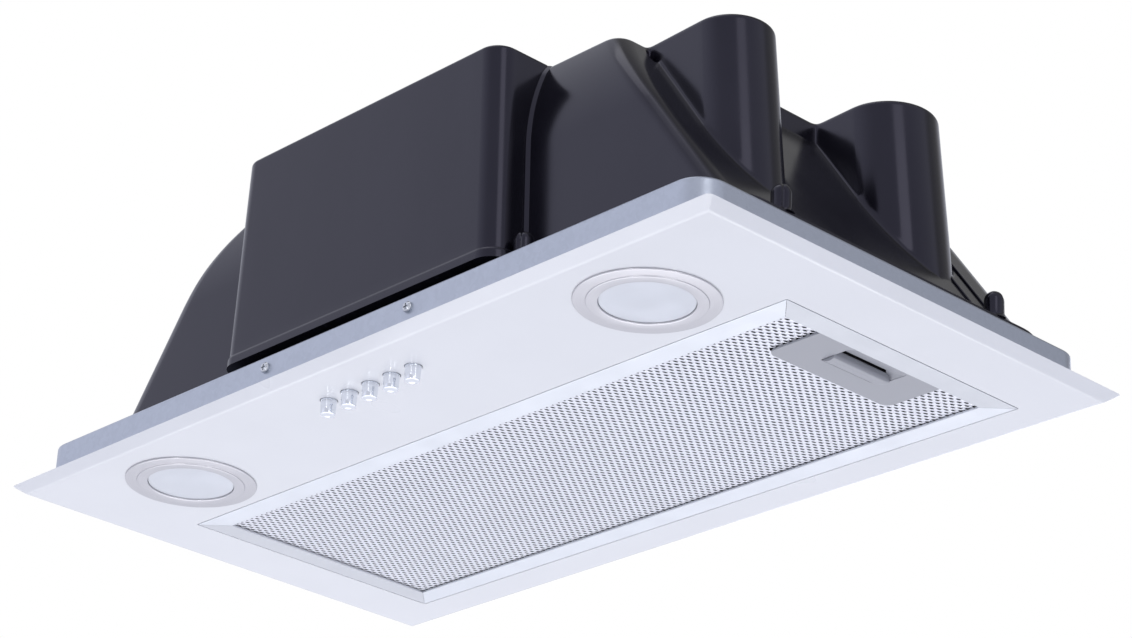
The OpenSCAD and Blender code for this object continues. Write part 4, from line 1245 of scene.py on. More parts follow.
@dataclass
class GreaseFilter:
    """The filter cassette: four mitred profiles round an expanded-metal pack, and its latch.

    Attributes:
        cell: The mesh's pitch along x and y.
        slot: Half length of a hole along x and y.
        climb: A strand's height in the middle of its hole, and its slope, as shares of the rise.
        front_sheet: Height of the front sheet and its rise.
        back_sheet: Height of the back sheet and its rise.
        core: Lower and upper face of the near-black slab between the sheets, painted shade that stands for
            the shadowed inner layers.
    """

    width: float = 440.0
    depth: float = 166.3
    middle: float = Fascia.opening[2]
    low: float = -4.4
    high: float = 4.6
    rim: float = 13.1
    sheet: float = 1.0
    mitre: float = 0.12
    cell: Pair = (4.286, 5.88)
    slot: Pair = (0.64, 1.75)
    slot_turn: float = 4.0
    slant: float = 0.1
    strand: float = 0.3
    strand_draft: float = 0.96
    climb: Pair = (0.6, 2.2)
    overlap: float = 2.0
    front_sheet: Pair = (-2.9, -0.26)
    back_sheet: Pair = (3.1, 0.26)
    tuck: float = 3.0
    core: Pair = (-1.6, 1.9)
    latch: Latch = Latch()

    def profile(self) -> tuple[np.ndarray, np.ndarray]:
        """The edge profile's outer and inner lines, with the same number of points.

        Returns:
            The two lines as distance in from the edge and height.
        """
        t, low, high = self.sheet, self.low, self.high
        outer = [(self.rim, low, 0), (0, low, 0.25), (0, high, 1.1), (self.rim, high, 0)]
        low, high = low + t, high - t
        inner = [(self.rim, low, 0), (t, low, 0.1), (t, high, 0.3), (self.rim, high, 0)]
        return fillet(outer, 5), fillet(inner, 5)

    def frame_bar(self, across: bool, sign: int) -> np.ndarray:
        """One bar of the frame, its ends cut at 45 degrees.

        What lies d in from the edge starts d from the corner.

        Args:
            across: Whether the bar runs front to back.
            sign: Which of the two opposite bars.

        Returns:
            The bar's grid, 2 sections by points by 3.
        """
        outer, inner = self.profile()
        d, z = np.vstack([outer, inner[::-1]]).T
        half_w, half_d = self.width / 2, self.depth / 2
        ends = []
        for end in (-1, 1):
            if across:
                x, y = sign * (half_w - d), end * (half_d - d - self.mitre)
            else:
                x, y = end * (half_w - d - self.mitre), sign * (half_d - d)
            ends.append(np.c_[x, y + self.middle, z])
        return np.stack(ends)

    def build_frame(self) -> None:
        """Makes the long and the short bars of the frame."""
        # The short bars take the darker copy of the finish, which is painted shade.
        for across, finish, word, nodes in (
            (False, Finishes.ALUMINIUM, "long", ["filter_frame"]),
            (True, Finishes.ALUMINIUM_ACROSS, "short", []),
        ):
            shell = Shell()
            for sign in (-1, 1):
                bar = self.frame_bar(across, sign)
                shell.grid(bar, wrap_cols=True)
                half = bar.shape[1] // 2
                for section in bar:
                    shell.grid(np.stack([section[:half], section[half:][::-1]]))
            even_shading(shell.build(f"filter_bars_{word}", finish, Body.FILTER, nodes, 30))

    def cell_middles(self) -> tuple[np.ndarray, np.ndarray]:
        """The middles of the mesh's cells, on a staggered grid that leaves out the latch.

        Returns:
            Their x and their y.
        """
        pitch_x, pitch_y = self.cell
        low_x, high_x = -self.width / 2 + self.rim - self.overlap, self.width / 2 - self.rim + self.overlap
        low_y = self.middle - self.depth / 2 + self.rim - self.overlap
        high_y = self.middle + self.depth / 2 - self.rim + self.overlap
        cols = int((high_x - low_x) / pitch_x) + 1
        rows = int((high_y - low_y) / (pitch_y / 2)) + 1
        col, row = np.meshgrid(np.arange(cols), np.arange(rows))
        x = low_x + (col + 0.5 * (row % 2)) * pitch_x + 1.0
        y = low_y + row * pitch_y / 2 + 1.0
        latch = self.latch
        covered = (x > latch.left + 1.0) & (np.abs(y - latch.middle) < latch.half - 1.0)
        keep = (x < high_x) & (y < high_y) & ~covered
        return x[keep], y[keep]

    def expanded_sheet(self, base: float, rise: float) -> Shell:
        """A sheet of expanded metal: rhombic cells, each a ring of slanting strands round its hole.

        Each cell is its rhombus, cut to eight points, and two more rings inside it. A strand climbs from one
        side of a hole to the other, as it does where the sheet has been slit and stretched.

        Args:
            base: Height of the sheet's middle.
            rise: Half the height that a strand climbs; its sign says which face is the front.

        Returns:
            The shell.
        """
        cx, cy = self.cell_middles()
        a, b = self.cell[0] / 2, self.cell[1] / 2
        quarter = np.array([(a, 0), (a / 2, b / 2), (0, b), (-a / 2, b / 2)])
        turn = np.radians(np.arange(8) * 45 + self.slot_turn)
        slot = np.c_[self.slot[0] * np.cos(turn), self.slot[1] * np.sin(turn)]
        slot[:, 0] += self.slant * slot[:, 1]
        flat = [np.vstack([quarter, -quarter]), slot, slot * self.strand_draft]
        climb = rise * (self.climb[0] - self.climb[1] * (slot[:, 0] / a))
        tall = [np.zeros(8), climb, climb - math.copysign(self.strand, rise)]
        layers = np.stack([
            np.stack([cx[:, None] + shape[:, 0], cy[:, None] + shape[:, 1], base + z + 0 * cx[:, None]], -1)
            for shape, z in zip(flat, tall)
        ], 1)
        shell = Shell()
        index = np.arange(len(cx) * 24).reshape(len(cx), 3, 8) + shell.take(layers)
        for lower, upper in ((index[:, 0], index[:, 1]), (index[:, 1], index[:, 2])):
            quads = np.stack([lower, np.roll(lower, -1, 1), np.roll(upper, -1, 1), upper], -1)
            shell.faces.extend(quads[..., :: -1 if rise > 0 else 1].reshape(-1, 4).tolist())
        return shell

    def build_pack(self) -> None:
        """Makes the front and back sheets, and between them a near-black slab of painted shade for the
        shadowed inner layers.
        """
        sheets = (("front", self.front_sheet, ["filter_mesh"]), ("back", self.back_sheet, []))
        for word, sheet, nodes in sheets:
            self.expanded_sheet(*sheet).build(
                f"mesh_{word}", Finishes.MESH, Body.FILTER, nodes, sharp=180, outward=False)
        half_w, half_d = self.width / 2 - self.rim + self.tuck, self.depth / 2 - self.rim + self.tuck
        near, far = self.middle - half_d, self.middle + half_d
        latch = self.latch
        left, low, high = latch.left - 1, latch.middle - latch.half - 1, latch.middle + latch.half + 1
        outer = np.array([
            (half_w, far), (-half_w, far), (-half_w, near), (half_w, near),
            (half_w, low), (left, low), (left, high), (half_w, high)])
        # Painted shade: a near-black slab between the two sheets, where the inner layers lie in shadow.
        Shell().slab(outer, [], *self.core).build("mesh_shade_core", Finishes.SHADE, Body.FILTER)

    def build(self) -> None:
        """Makes the whole cassette."""
        self.build_frame()
        self.build_pack()
        self.latch.build_plate()
        self.latch.build_grip()
        dress("filter_pins", Finishes.SHAFT)


@dataclass(frozen=True)
class Tower:
    """One round-nosed tower of the housing: where its nose's middle lies at the top, and its radius there.

    Attributes:
        lean: How far the nose moves out from the top to the foot.
        spread: How much its radius grows on that way.
        flare: How far each side has come in at its back.
    """

    x: float
    y: float
    radius: float
    top: float = 140.0
    foot: float = 24.6
    lean: float = 8.0
    spread: float = 2.0
    flare: float = 3.0
    back: float = 136.0

    def cut(self, z: np.ndarray, edge: np.ndarray) -> tuple[np.ndarray, np.ndarray, np.ndarray, np.ndarray]:
        """Where the tower stands out of the hopper's end at each height.

        The nose is a circle whose middle and radius grow with the lean; behind it the sides are straight.
        The hopper's end cuts the sides, or the circle, or passes outside both.

        Args:
            z: Heights.
            edge: The hopper's end at those heights.

        Returns:
            The nose's middle and radius, half its free arc's angle, and half the tower's width at the edge.
        """
        lean = (self.top - z) / (self.top - self.foot)
        radius = self.radius + self.spread * lean
        middle = self.x + self.lean * lean
        free = np.arccos(np.clip((edge - middle) / radius, 0, 1))
        straight = radius - self.flare * (middle - edge) / (middle - self.back)
        half = np.where(edge < middle, straight, radius * np.sin(free))
        return middle, radius, free, half


@dataclass(frozen=True)
class Notch:
    """The lens-shaped pocket at the top of the front valley."""

    middle: Triple = (161.0, -82.5, 131.5)
    along: Triple = (-0.56, 0.1, 0.82)
    inward: Triple = (0.75, -0.35, 0.55)
    half_length: float = 4.5
    half_width: float = 2.6
    depth: float = 4.0

    def press(self, points: np.ndarray) -> np.ndarray:
        """Sinks the points near the middle by a flat-topped bell of their distance along and across it.

        Args:
            points: Surface points, their last axis the coordinates.

        Returns:
            The moved points.
        """
        along = np.array(self.along)
        along /= np.linalg.norm(along)
        offset = points - np.array(self.middle)
        length = offset @ along
        away = np.linalg.norm(offset - length[..., None] * along, axis=-1)
        depth = self.depth * np.exp(-((length / self.half_length) ** 4) - (away / self.half_width) ** 4)
        return points - depth[..., None] * np.array(self.inward)


@dataclass
class Housing:
    """The black blower housing: a tapering hopper, two towers at its right end, its foot and its posts.

    Attributes:
        corners: Radii of the front right, the back right and the left corners.
        outlet: x of the outlet, radius of its seat and of its bore.
        plate: Width, depth, corner radius and middle x of the foot plate.
        post: Radius and height of a post.
        groove: Depth of its groove, and half the groove's angle in radians.
        posts: x and y of each post.
        ribs: y of each rib, and the heights of its upper and lower end.
    """

    top: float = Tower.top
    foot: float = 20.6
    wall: float = 2.5
    half_depth: float = 113.0
    foot_right: float = 240.5
    foot_left: float = 226.5
    slope_right: float = 0.715
    slope_left: float = 0.716
    shoulder: float = 103.0
    front_shoulder: float = 114.0
    front_arc: float = 88.0
    corners: Triple = (9.0, 18.0, 18.0)
    valley: float = 164.0
    outlet: Triple = (-50.0, 69.0, 57.5)
    front_tower: Tower = Tower(194.5, -63.0, 20.8)
    back_tower: Tower = Tower(190.5, 54.4, 25.6)
    notch: Notch = Notch()
    soften: float = 1.7
    samples: int = 4096
    top_edge: float = 2.6
    fine_above: float = 127.0
    flat_end: float = 150.0
    plate: Quad = (484.3, 234.0, 25.0, 2.85)
    plate_edge: float = 0.6
    plate_overlap: float = 1.2
    post: Pair = (5.0, 15.0)
    post_foot: float = 2.4
    groove: Pair = (0.95, 0.2)
    posts: tuple[Pair, ...] = (
        (240.0, 75.5), (240.0, -75.5), (-240.0, 75.5), (-240.0, -75.5), (116.45, -120.0), (116.45, 120.0))
    ribs: tuple[Triple, ...] = ((80.6, 66.0, 32.0), (66.5, 55.0, 30.0))

    def front(self, z: np.ndarray) -> np.ndarray:
        """Half the hopper's depth at each height: upright, then leaning in along a circle."""
        reach = np.sqrt(np.maximum(self.front_shoulder**2 - (z - self.front_arc) ** 2, 0))
        return self.half_depth + np.where(z < self.front_arc, 0, reach - self.front_shoulder)

    def right(self, z: np.ndarray) -> np.ndarray:
        """The hopper's right end at each height: a plain slope."""
        return self.foot_right - self.slope_right * (z - self.foot)

    def left(self, z: np.ndarray) -> np.ndarray:
        """The hopper's left end at each height: a slope that turns over into the top in one circle.

        Args:
            z: Heights.

        Returns:
            The x of the left end.
        """
        lean = math.atan(self.slope_left)
        arc_z = self.top - self.shoulder
        touch = arc_z + self.shoulder * math.sin(lean)
        arc_x = -self.foot_left + self.slope_left * (touch - self.foot) + self.shoulder * math.cos(lean)
        round_x = arc_x - np.sqrt(np.maximum(self.shoulder**2 - (z - arc_z) ** 2, 0))
        return np.where(z < touch, -self.foot_left + self.slope_left * (z - self.foot), round_x)

    @staticmethod
    def line(first: Sequence[np.ndarray], last: Sequence[np.ndarray], count: int) -> np.ndarray:
        """Straight segments at every height, their points closer together at both ends.

        Args:
            first: x and y of the first ends.
            last: x and y of the last ends.
            count: Points in each.

        Returns:
            The segments, heights by count by 2.
        """
        share = 0.5 - 0.5 * np.cos(np.linspace(0, math.pi, count))
        a, b = (np.stack(np.broadcast_arrays(*ends), -1)[:, None] for ends in (first, last))
        return a + (b - a) * share[:, None]

    @staticmethod
    def bow(
        cx: np.ndarray, cy: np.ndarray, radius: np.ndarray, start: np.ndarray, end: np.ndarray, count: int
    ) -> np.ndarray:
        """Circular segments at every height: the middle plus radius times cosine and sine.

        Args:
            cx: Middles along x.
            cy: Middles along y.
            radius: Radii.
            start: First angles.
            end: Last angles.
            count: Points in each.

        Returns:
            The segments, heights by count by 2.
        """
        cx, cy, radius, start, end = (v[:, None] for v in np.broadcast_arrays(cx, cy, radius, start, end))
        angle = start + (end - start) * np.linspace(0, 1, count)
        return np.stack([cx + radius * np.cos(angle), cy + radius * np.sin(angle)], -1)

    def right_end(self, z: np.ndarray, f: np.ndarray, xr: np.ndarray) -> list[np.ndarray]:
        """The outline's right end at each height: ridge, front tower, valley, back tower and back ridge.

        Args:
            z: Heights.
            f: Half the hopper's depth there.
            xr: The hopper's right end there.

        Returns:
            The parts, each heights by points by 2.
        """
        ridge, back_ridge, _ = self.corners
        xv = np.maximum(xr, self.valley)
        parts = [self.bow(xr - ridge, ridge - f, ridge, -QUARTER, 0, 12)]
        place = (xr, ridge - f)
        for tower, near, far in ((self.front_tower, xr, xv), (self.back_tower, xv, xr)):
            middle, radius, free_near, half_near = tower.cut(z, near)
            _, _, free_far, half_far = tower.cut(z, far)
            root_near, root_far = (near, tower.y - half_near), (far, tower.y + half_far)
            cheek_near = (np.maximum(near, middle), tower.y - np.where(near < middle, radius, half_near))
            cheek_far = (np.maximum(far, middle), tower.y + np.where(far < middle, radius, half_far))
            nose = self.bow(middle, tower.y, radius, -free_near, free_far, 33)
            nose[..., 0] = np.maximum(nose[..., 0], np.minimum(near, far)[:, None])
            parts += [self.line(place, root_near, 18), self.line(root_near, cheek_near, 16), nose]
            parts.append(self.line(cheek_far, root_far, 16))
            place = root_far
        parts.append(self.line(place, (xr, f - back_ridge), 18))
        parts.append(self.bow(xr - back_ridge, f - back_ridge, back_ridge, 0, QUARTER, 12))
        return parts

    def outlines(self, z: np.ndarray) -> np.ndarray:
        """The housing's outline at each height, anticlockwise, its parts with as many points at every one.

        Args:
            z: Heights.

        Returns:
            The outlines, heights by points by 2.
        """
        f, xr, xl = self.front(z), self.right(z), self.left(z)
        ridge, back_ridge, corner = self.corners
        seat_x, seat_r, _ = self.outlet
        free = np.arccos(np.clip((seat_x - xl) / seat_r, 0, 1))
        half = seat_r * np.sin(free)
        seat = self.bow(seat_x, 0 * z, seat_r, math.pi - free, math.pi + free, 25)
        seat[..., 0] = np.minimum(seat[..., 0], xl[:, None])
        parts = [
            self.line((xl + corner, -f), (xr - ridge, -f), 40),
            *self.right_end(z, f, xr),
            self.line((xr - back_ridge, f), (xl + corner, f), 40),
            self.bow(xl + corner, f - corner, corner, QUARTER, 2 * QUARTER, 10),
            self.line((xl, f - corner), (xl, half), 18),
            seat,
            self.line((xl, -half), (xl, corner - f), 18),
            self.bow(xl + corner, corner - f, corner, 2 * QUARTER, 3 * QUARTER, 10),
        ]
        return np.concatenate([part[:, :-1] for part in parts], 1)

    def softened(self, loop: np.ndarray) -> tuple[np.ndarray, np.ndarray]:
        """Rounds every corner of an outline by a Gaussian mean along its length, taken through its spectrum.

        Args:
            loop: The outline, n by 2.

        Returns:
            The rounded outline, point for point, and its inward normals.
        """
        closed = np.vstack([loop, loop[:1]])
        along = np.r_[0, np.cumsum(np.hypot(*np.diff(closed, axis=0).T))]
        total = along[-1]
        even = np.linspace(0, total, self.samples, endpoint=False)
        rate = TAU * np.fft.rfftfreq(self.samples, total / self.samples)
        fade = np.exp(-0.5 * (self.soften * rate) ** 2)
        columns = []
        for axis in (0, 1):
            wave = np.fft.rfft(np.interp(even, along, closed[:, axis])) * fade
            for spectrum in (wave, 1j * rate * wave):
                values = np.fft.irfft(spectrum, self.samples)
                columns.append(np.interp(along[:-1], even, values, period=total))
        x, x_rate, y, y_rate = columns
        normal = np.stack([-y_rate, x_rate], 1)
        return np.stack([x, y], 1), normal / np.linalg.norm(normal, axis=1)[:, None]

    def core(self, last: np.ndarray) -> np.ndarray:
        """Draws a top outline in to the hopper's own rectangle, the towers' points to its right edge.

        Args:
            last: The outline at the top, n by 2.

        Returns:
            The drawn-in loop, point for point.
        """
        made = last.copy()
        narrow_from, narrower, play = self.flat_end + 5, 0.1, 0.5
        for tower in (self.front_tower, self.back_tower):
            own = (last[:, 0] > self.flat_end) & (np.abs(last[:, 1] - tower.y) < tower.radius + play)
            squeeze = 1 - narrower * np.clip((last[own, 0] - narrow_from) / (tower.x - narrow_from), 0, 1)
            made[own, 1] = tower.y + (last[own, 1] - tower.y) * squeeze
        made[:, 0] = np.minimum(made[:, 0], self.flat_end)
        return made

    def lid(self, last: np.ndarray, height: float) -> list[np.ndarray]:
        """The flat top's two rings: the drawn-in outline and the hole for the outlet.

        Args:
            last: The outline at the top, n by 2.
            height: The rings' height.

        Returns:
            The two rings.
        """
        seat_x, _, bore = self.outlet
        made = self.core(last)
        angle = np.arctan2(made[:, 1], made[:, 0] - seat_x)
        return [lift(made, height), lift(np.c_[seat_x + bore * np.cos(angle), bore * np.sin(angle)], height)]

    def build_skin(self) -> None:
        """Makes the skin: outlines up the outside, over the top edge to the outlet, and down the inside."""
        edge, ceiling = self.top_edge, self.top - self.wall
        upright = np.r_[
            np.linspace(self.foot, self.fine_above - 1, 62),
            np.linspace(self.fine_above, self.top - edge, 16),
        ]
        turn = np.linspace(0, QUARTER, 6)[1:]
        heights = np.r_[upright, self.top - edge * (1 - np.sin(turn))]
        pulls = np.r_[np.zeros(len(upright)), edge * (1 - np.cos(turn))]
        outer, inner = [], []
        for outline, pull, height in zip(self.outlines(heights), pulls, heights):
            loop, normal = self.softened(outline)
            outer.append(lift(loop + normal * pull, height))
            if height < ceiling:
                inner.append(lift(loop + normal * self.wall, height))
        last = lift(loop + normal * self.wall, ceiling)
        roof, under = self.lid(outer[-1][:, :2], self.top), self.lid(last[:, :2], ceiling)
        grid = np.stack([*outer, *roof, *under[::-1], last, *inner[::-1]])
        even_shading(Shell().grid(self.notch.press(grid), wrap_rows=True, wrap_cols=True).build(
            "housing_skin", Finishes.BLACK, replaces=["blower_housing"], sharp=60, outward=False))

    def build_foot(self) -> None:
        """Makes the foot plate with its opening, which follows the skin's lowest outline."""
        wide, deep, corner, x = self.plate
        loop, normal = self.softened(self.outlines(np.array([self.foot]))[0])
        inner = loop + normal * self.plate_overlap
        plate = rect_loop(wide, deep, corner, 10, x, 0)
        shell = Shell().slab(plate, [inner], self.foot, self.foot + self.wall, self.plate_edge, 3)
        even_shading(shell.build("housing_foot", Finishes.BLACK, sharp=40))

    def build_posts(self) -> None:
        """Makes each screw post as a radius over angle and height, with its outer groove and round top."""
        shell = Shell()
        radius, height = self.post
        groove_depth, groove_half = self.groove
        angle = np.linspace(0, TAU, 40, endpoint=False)
        turn = np.linspace(0, QUARTER, 8)
        share = np.r_[1.25, 1.06, 1.0, 1.0, np.cos(turn)][:, None]
        level = np.r_[0, 1.2, 2.2, height - radius - 0.1, height - radius + radius * np.sin(turn)]
        base = self.foot + self.post_foot
        for x, y in self.posts:
            at_end = abs(x) > self.valley
            facing = math.atan2(np.sign(y) * 0.6, np.sign(x)) if at_end else math.atan2(np.sign(y), 0.3)
            away = (angle - facing + math.pi) % TAU - math.pi
            groove = groove_depth * np.exp(-((away / groove_half) ** 4))
            reach = radius * share - groove * np.where(share >= 0.999, 1, share)
            spots = [x + reach * np.cos(angle), y + reach * np.sin(angle), base + level[:, None] + 0 * angle]
            points = np.stack(spots, -1)
            shell.grid(points, wrap_cols=True).cap(points[0])
        shell.build("screw_posts", Finishes.BLACK, sharp=40)

    def build_ribs(self) -> None:
        """Makes the two low ribs that run down the right slope behind the back tower's foot."""
        shell, count = Shell(), 12
        length = math.hypot(self.slope_right, 1)
        section = fillet([(-1.1, -0.6, 0), (1.1, -0.6, 0), (1.1, 0.9, 0.5), (-1.1, 0.9, 0.5)], 4, closed=True)
        side = np.tile([0.0, 1.0, 0.0], (count, 1))
        out = np.tile([1 / length, 0.0, self.slope_right / length], (count, 1))
        for y, high, low in self.ribs:
            z = np.linspace(high, low, count)
            shell.tube(sweep(np.c_[self.right(z), np.full(count, y), z], section, side, out))
        even_shading(shell.build("slope_ribs", Finishes.BLACK, sharp=40))

    def build(self) -> None:
        """Makes the housing and dresses its screws."""
        self.build_skin()
        self.build_foot()
        self.build_posts()
        self.build_ribs()
        for node in ("housing_screws", "cover_screws", "collar_screws", "scroll_screws", "motor_screws"):
            dress(node, Finishes.SCREW, 0.12)


@dataclass
class ControlBox:
    """The cover in front of the hopper: a tapered box with a skirt, round corners and two rear beads.

    Attributes:
        skirt: The skirt's height and how far it stands out.
        slot: Width, depth, corner radius and y of the slot for the wires.
        tab: Width, depth, corner radius and middle y of a screw tab.
        tab_hole: x and y of its hole, and the hole's radius.
        gland: x and y of the cable gland.
    """

    housing: Housing
    width: float = 207.5
    x: float = 6.2
    taper: float = 4.4
    front: float = 134.0
    low: float = 24.6
    high: float = 141.5
    wall: float = 2.2
    corner: float = 11.5
    edge: float = 2.2
    rear_gap: float = 0.3
    skirt: Pair = (5.0, 0.8)
    slot: Quad = (60.0, 10.0, 1.5, -121.0)
    tab: Quad = (14.0, 29.0, 2.5, -95.5)
    tab_hole: Triple = (50.0, -88.0, 1.8)
    gland: Pair = (70.0, -118.0)

    def pull(self, z: np.ndarray | float) -> np.ndarray | float:
        """How far each side has come in at a height."""
        return self.taper * (z - self.low) / (self.high - self.low)

    def path(self, z: float, out: float) -> np.ndarray:
        """The cover's outline at a height, from its right rear edge round the front to its left rear edge.

        Args:
            z: The height.
            out: How far the skin is moved outwards.

        Returns:
            The outline, n by 2.
        """
        half = self.width / 2 - self.pull(z) + out
        y0, r = -self.front - out, self.corner + out
        rear = -(float(self.housing.front(np.array(min(z, self.housing.top)))) + self.rear_gap)
        side = np.linspace(0, 1, 8)[:, None]
        right = np.array([[half, rear]]) + side * np.array([[0, y0 + r - rear]])
        return np.vstack([
            right[:-1], arc(half - r, y0 + r, r, 0, -90, 13),
            np.c_[np.linspace(half - r, r - half, 22)[1:-1], np.full(20, y0)],
            arc(r - half, y0 + r, r, -90, -180, 13), (right * [-1, 1])[::-1][1:]]) + [self.x, 0]

    def build_skin(self) -> None:
        """Makes the skin: outlines up over the skirt and the top edge, with an inner wall along them."""
        deep, out = self.skirt
        skirt = self.low + deep
        step = [
            (self.low, out),
            (skirt - 1.4, out),
            (skirt - 0.6, out * 0.8),
            (skirt, out * 0.3),
            (skirt + 0.6, 0.0),
        ]
        rise = [(float(z), 0.0) for z in np.linspace(skirt + 6, self.high - self.edge, 26)]
        over = [
            (self.high - self.edge * (1 - math.sin(t)), -self.edge * (1 - math.cos(t)))
            for t in np.linspace(0, QUARTER, 7)[1:]
        ]
        levels, ceiling = step + rise + over, self.high - self.wall
        outer = [lift(self.path(z, moved), z) for z, moved in levels]
        inner = [lift(self.path(min(z, ceiling), -self.wall), min(z, ceiling)) for z, _ in levels]
        for rows in (outer, inner):
            rear = rows[-1].copy()
            rear[:, 1] = rear[0, 1]
            rows.append(rear)
        skin = Shell().grid(np.stack([np.vstack([a, b[::-1]]) for a, b in zip(outer, inner)]), wrap_cols=True)
        for end in (0, -1):
            skin.grid(np.stack([outer[end], inner[end]]))
        even_shading(skin.build("cover_skin", Finishes.BLACK, replaces=["control_box"], sharp=50))

    def bead(self, sign: int) -> np.ndarray:
        """The bead along one rear edge: a low section carried up the edge, which sinks in near the top.

        Args:
            sign: 1 for the right edge, -1 for the left one.

        Returns:
            The bead's grid.
        """
        z = np.linspace(self.low + 10, self.housing.top - 0.6, 40)
        path = np.c_[self.x + sign * (self.width / 2 - self.pull(z)), -self.housing.front(z) - 0.2, z]
        ahead = np.gradient(path, axis=0)
        ahead /= np.linalg.norm(ahead, axis=1)[:, None]
        across = np.tile([1.0, 0.0, 0.0], (len(z), 1))
        away = np.cross(across, ahead)
        away *= -np.sign(away[:, 1:2])
        corners = [(-2, -0.4, 0), (2.4, -0.4, 0), (2.4, 0.2, 0.2), (0.5, 1.5, 0.5), (-2, 1.5, 0)]
        tube = sweep(path, fillet(corners, 5, closed=True) * [sign, 1], across, away)
        fade = np.clip((self.housing.top - z) / 6, 0.05, 1)[:, None]
        tube[..., 1] += (1 - np.sqrt(fade)) * 2.0
        return tube

    def build_trim(self) -> None:
        """Makes the cover's floor, with a slot for the wires, its two screw tabs and its beads."""
        shell = Shell()
        slot_w, slot_d, slot_corner, slot_y = self.slot
        slot = rect_loop(slot_w, slot_d, slot_corner, 4, 0, slot_y)
        shell.slab(self.path(self.low, -0.4)[::-1], [slot], self.low + 0.1, self.low + self.wall, 0.2, 2)
        tab_w, tab_d, tab_corner, tab_y = self.tab
        hole_x, hole_y, hole_r = self.tab_hole
        seat = self.housing.top
        for sign in (-1, 1):
            tab = rect_loop(tab_w, tab_d, tab_corner, 5, sign * hole_x, tab_y)
            shell.slab(tab, [ring(sign * hole_x, hole_y, hole_r, 20)], seat, seat + 2.1, 0.4, 3)
            shell.tube(self.bead(sign))
        even_shading(shell.build("cover_trim", Finishes.BLACK, sharp=40))

    def build_gland(self) -> None:
        """Makes the cable gland: a threaded body with a domed cap and a hexagonal nut inside the cover."""
        z, (x, y) = self.high, self.gland
        bore, body, brim, foot, turns = 4, 8, 11, self.high - 16.5, 19
        thread = np.stack([body - 0.35 * (np.arange(turns) % 2), np.linspace(foot, z - 0.2, turns)], 1)
        cap = fillet(
            [
                (body, z, 0),
                (brim, z, 0.3),
                (brim, z + 2.5, 0.8),
                (9, z + 2.7, 0.3),
                (7.4, z + 5.5, 1.0),
                (bore, z + 5.5, 0.4),
            ],
            4)
        shell = Shell().turned(np.vstack([[(bore, foot)], thread, cap]), 60, x, y, closed=True)
        shell.slab(ring(x, y, brim, 6), [ring(x, y, body - 0.1, 40)], z - 6.2, z - 2.2, 0.4, 2)
        shell.build("cable_entry_gland", Finishes.DARK, replaces=["cable_gland"])

    def build(self) -> None:
        """Makes the cover and dresses what it holds."""
        self.build_skin()
        self.build_trim()
        self.build_gland()
        dress("control_board", Finishes.BOARD, 0.1)
        dress("terminal_block", Finishes.TERMINAL, 0.2)
        dress("capacitor", Finishes.FILM, 0.4)


@dataclass
class Outlet:
    """The round outlet on the top: collar, pin and two flaps."""

    x: float = Housing.outlet[0]
    seat: float = Housing.top
    flange: float = Housing.outlet[1]
    flange_sheet: float = 2.5
    radius: float = 59.5
    wall: float = 2.0
    height: float = 45.0

    def build(self) -> None:
        """Makes the collar as one turned profile with a shallow groove for a clamp, and dresses the flaps."""
        z, r, top = self.seat, self.radius, self.seat + self.height
        bore, ledge, groove = r - self.wall, z + self.flange_sheet, r - 0.6
        profile = fillet(
            [
                (bore, z, 0),
                (self.flange, z, 0.3),
                (self.flange, ledge, 0.9),
                (r + 0.02, ledge, 1.5),
                (r, z + 8, 0),
                (r, top - 12, 0.2),
                (groove, top - 11.4, 0.2),
                (groove, top - 9.6, 0.2),
                (r, top - 9, 0.2),
                (r, top, 0.7),
                (bore, top, 0.5),
            ],
            4, closed=True)
        Shell().turned(profile, 128, self.x, 0, closed=True).build(
            "outlet_ring", Finishes.DARK, replaces=["outlet_collar"])
        dress("flap_pin", Finishes.SHAFT)
        for side in Side:
            dress(f"flap_{side.word}", Finishes.DARK, 0.2)


@dataclass
class Blower:
    """What turns and blows inside the housing."""

    x: float = 70.0
    throat: float = 50.0
    wall: float = 1.8
    brim: float = 12.0
    low: float = 60.0

    def build(self) -> None:
        """Makes the inlet ring's round mouth, and dresses the rest."""
        z, r = self.low, self.throat
        outside, brim = r + self.wall, r + self.brim
        profile = fillet(
            [
                (r, z + 5, 0.5),
                (r, z + 1, 2.5),
                (r + 2.5, z - 3, 2.5),
                (brim, z - 3, 0.8),
                (brim, z, 0.4),
                (outside, z, 0.6),
                (outside, z + 5, 0.5),
            ],
            6, closed=True)
        Shell().turned(profile, 96, self.x, 0, closed=True).build(
            "inlet_mouth", Finishes.DARK, replaces=["inlet_ring"])
        for node, finish, edge in (
            ("scroll_casing", Finishes.DARK, 0.3), ("impeller", Finishes.DARK, 0.0),
            ("impeller_nut", Finishes.SHAFT, 0.3), ("motor_shaft", Finishes.SHAFT, 0.3),
            ("motor", Finishes.MOTOR, 0.5), ("motor_bearings", Finishes.BRONZE, 0.2),
            ("motor_bracket", Finishes.ZINC_SHEET, 0.2), ("motor_grommets", Finishes.RUBBER, 0.4),
        ):
            dress(node, finish, edge)


# The studio


@dataclass(frozen=True)
class SoftBox:
    """A soft square light: where it stands, what it points at, its size in metres and its power in watts."""

    name: str
    place: Triple
    target: Triple
    size: Pair
    power: float

    def build(self) -> None:
        """Adds the light."""
        data = bpy.data.lights.new(self.name, "AREA")
        data.shape = "RECTANGLE"
        data.size, data.size_y = self.size
        data.energy = self.power
        lamp = bpy.data.objects.new(self.name, data)
        lamp.visible_camera = False
        lamp.location = self.place
        lamp.rotation_euler = (Vector(self.target) - Vector(self.place)).to_track_quat("-Z", "Y").to_euler()
        bpy.context.scene.collection.objects.link(lamp)


@dataclass(frozen=True)
class Ramp:
    """A smooth change of the world's light: its axis, the cosines where it starts and ends, two levels."""

    axis: Triple
    reach: Pair
    levels: Pair


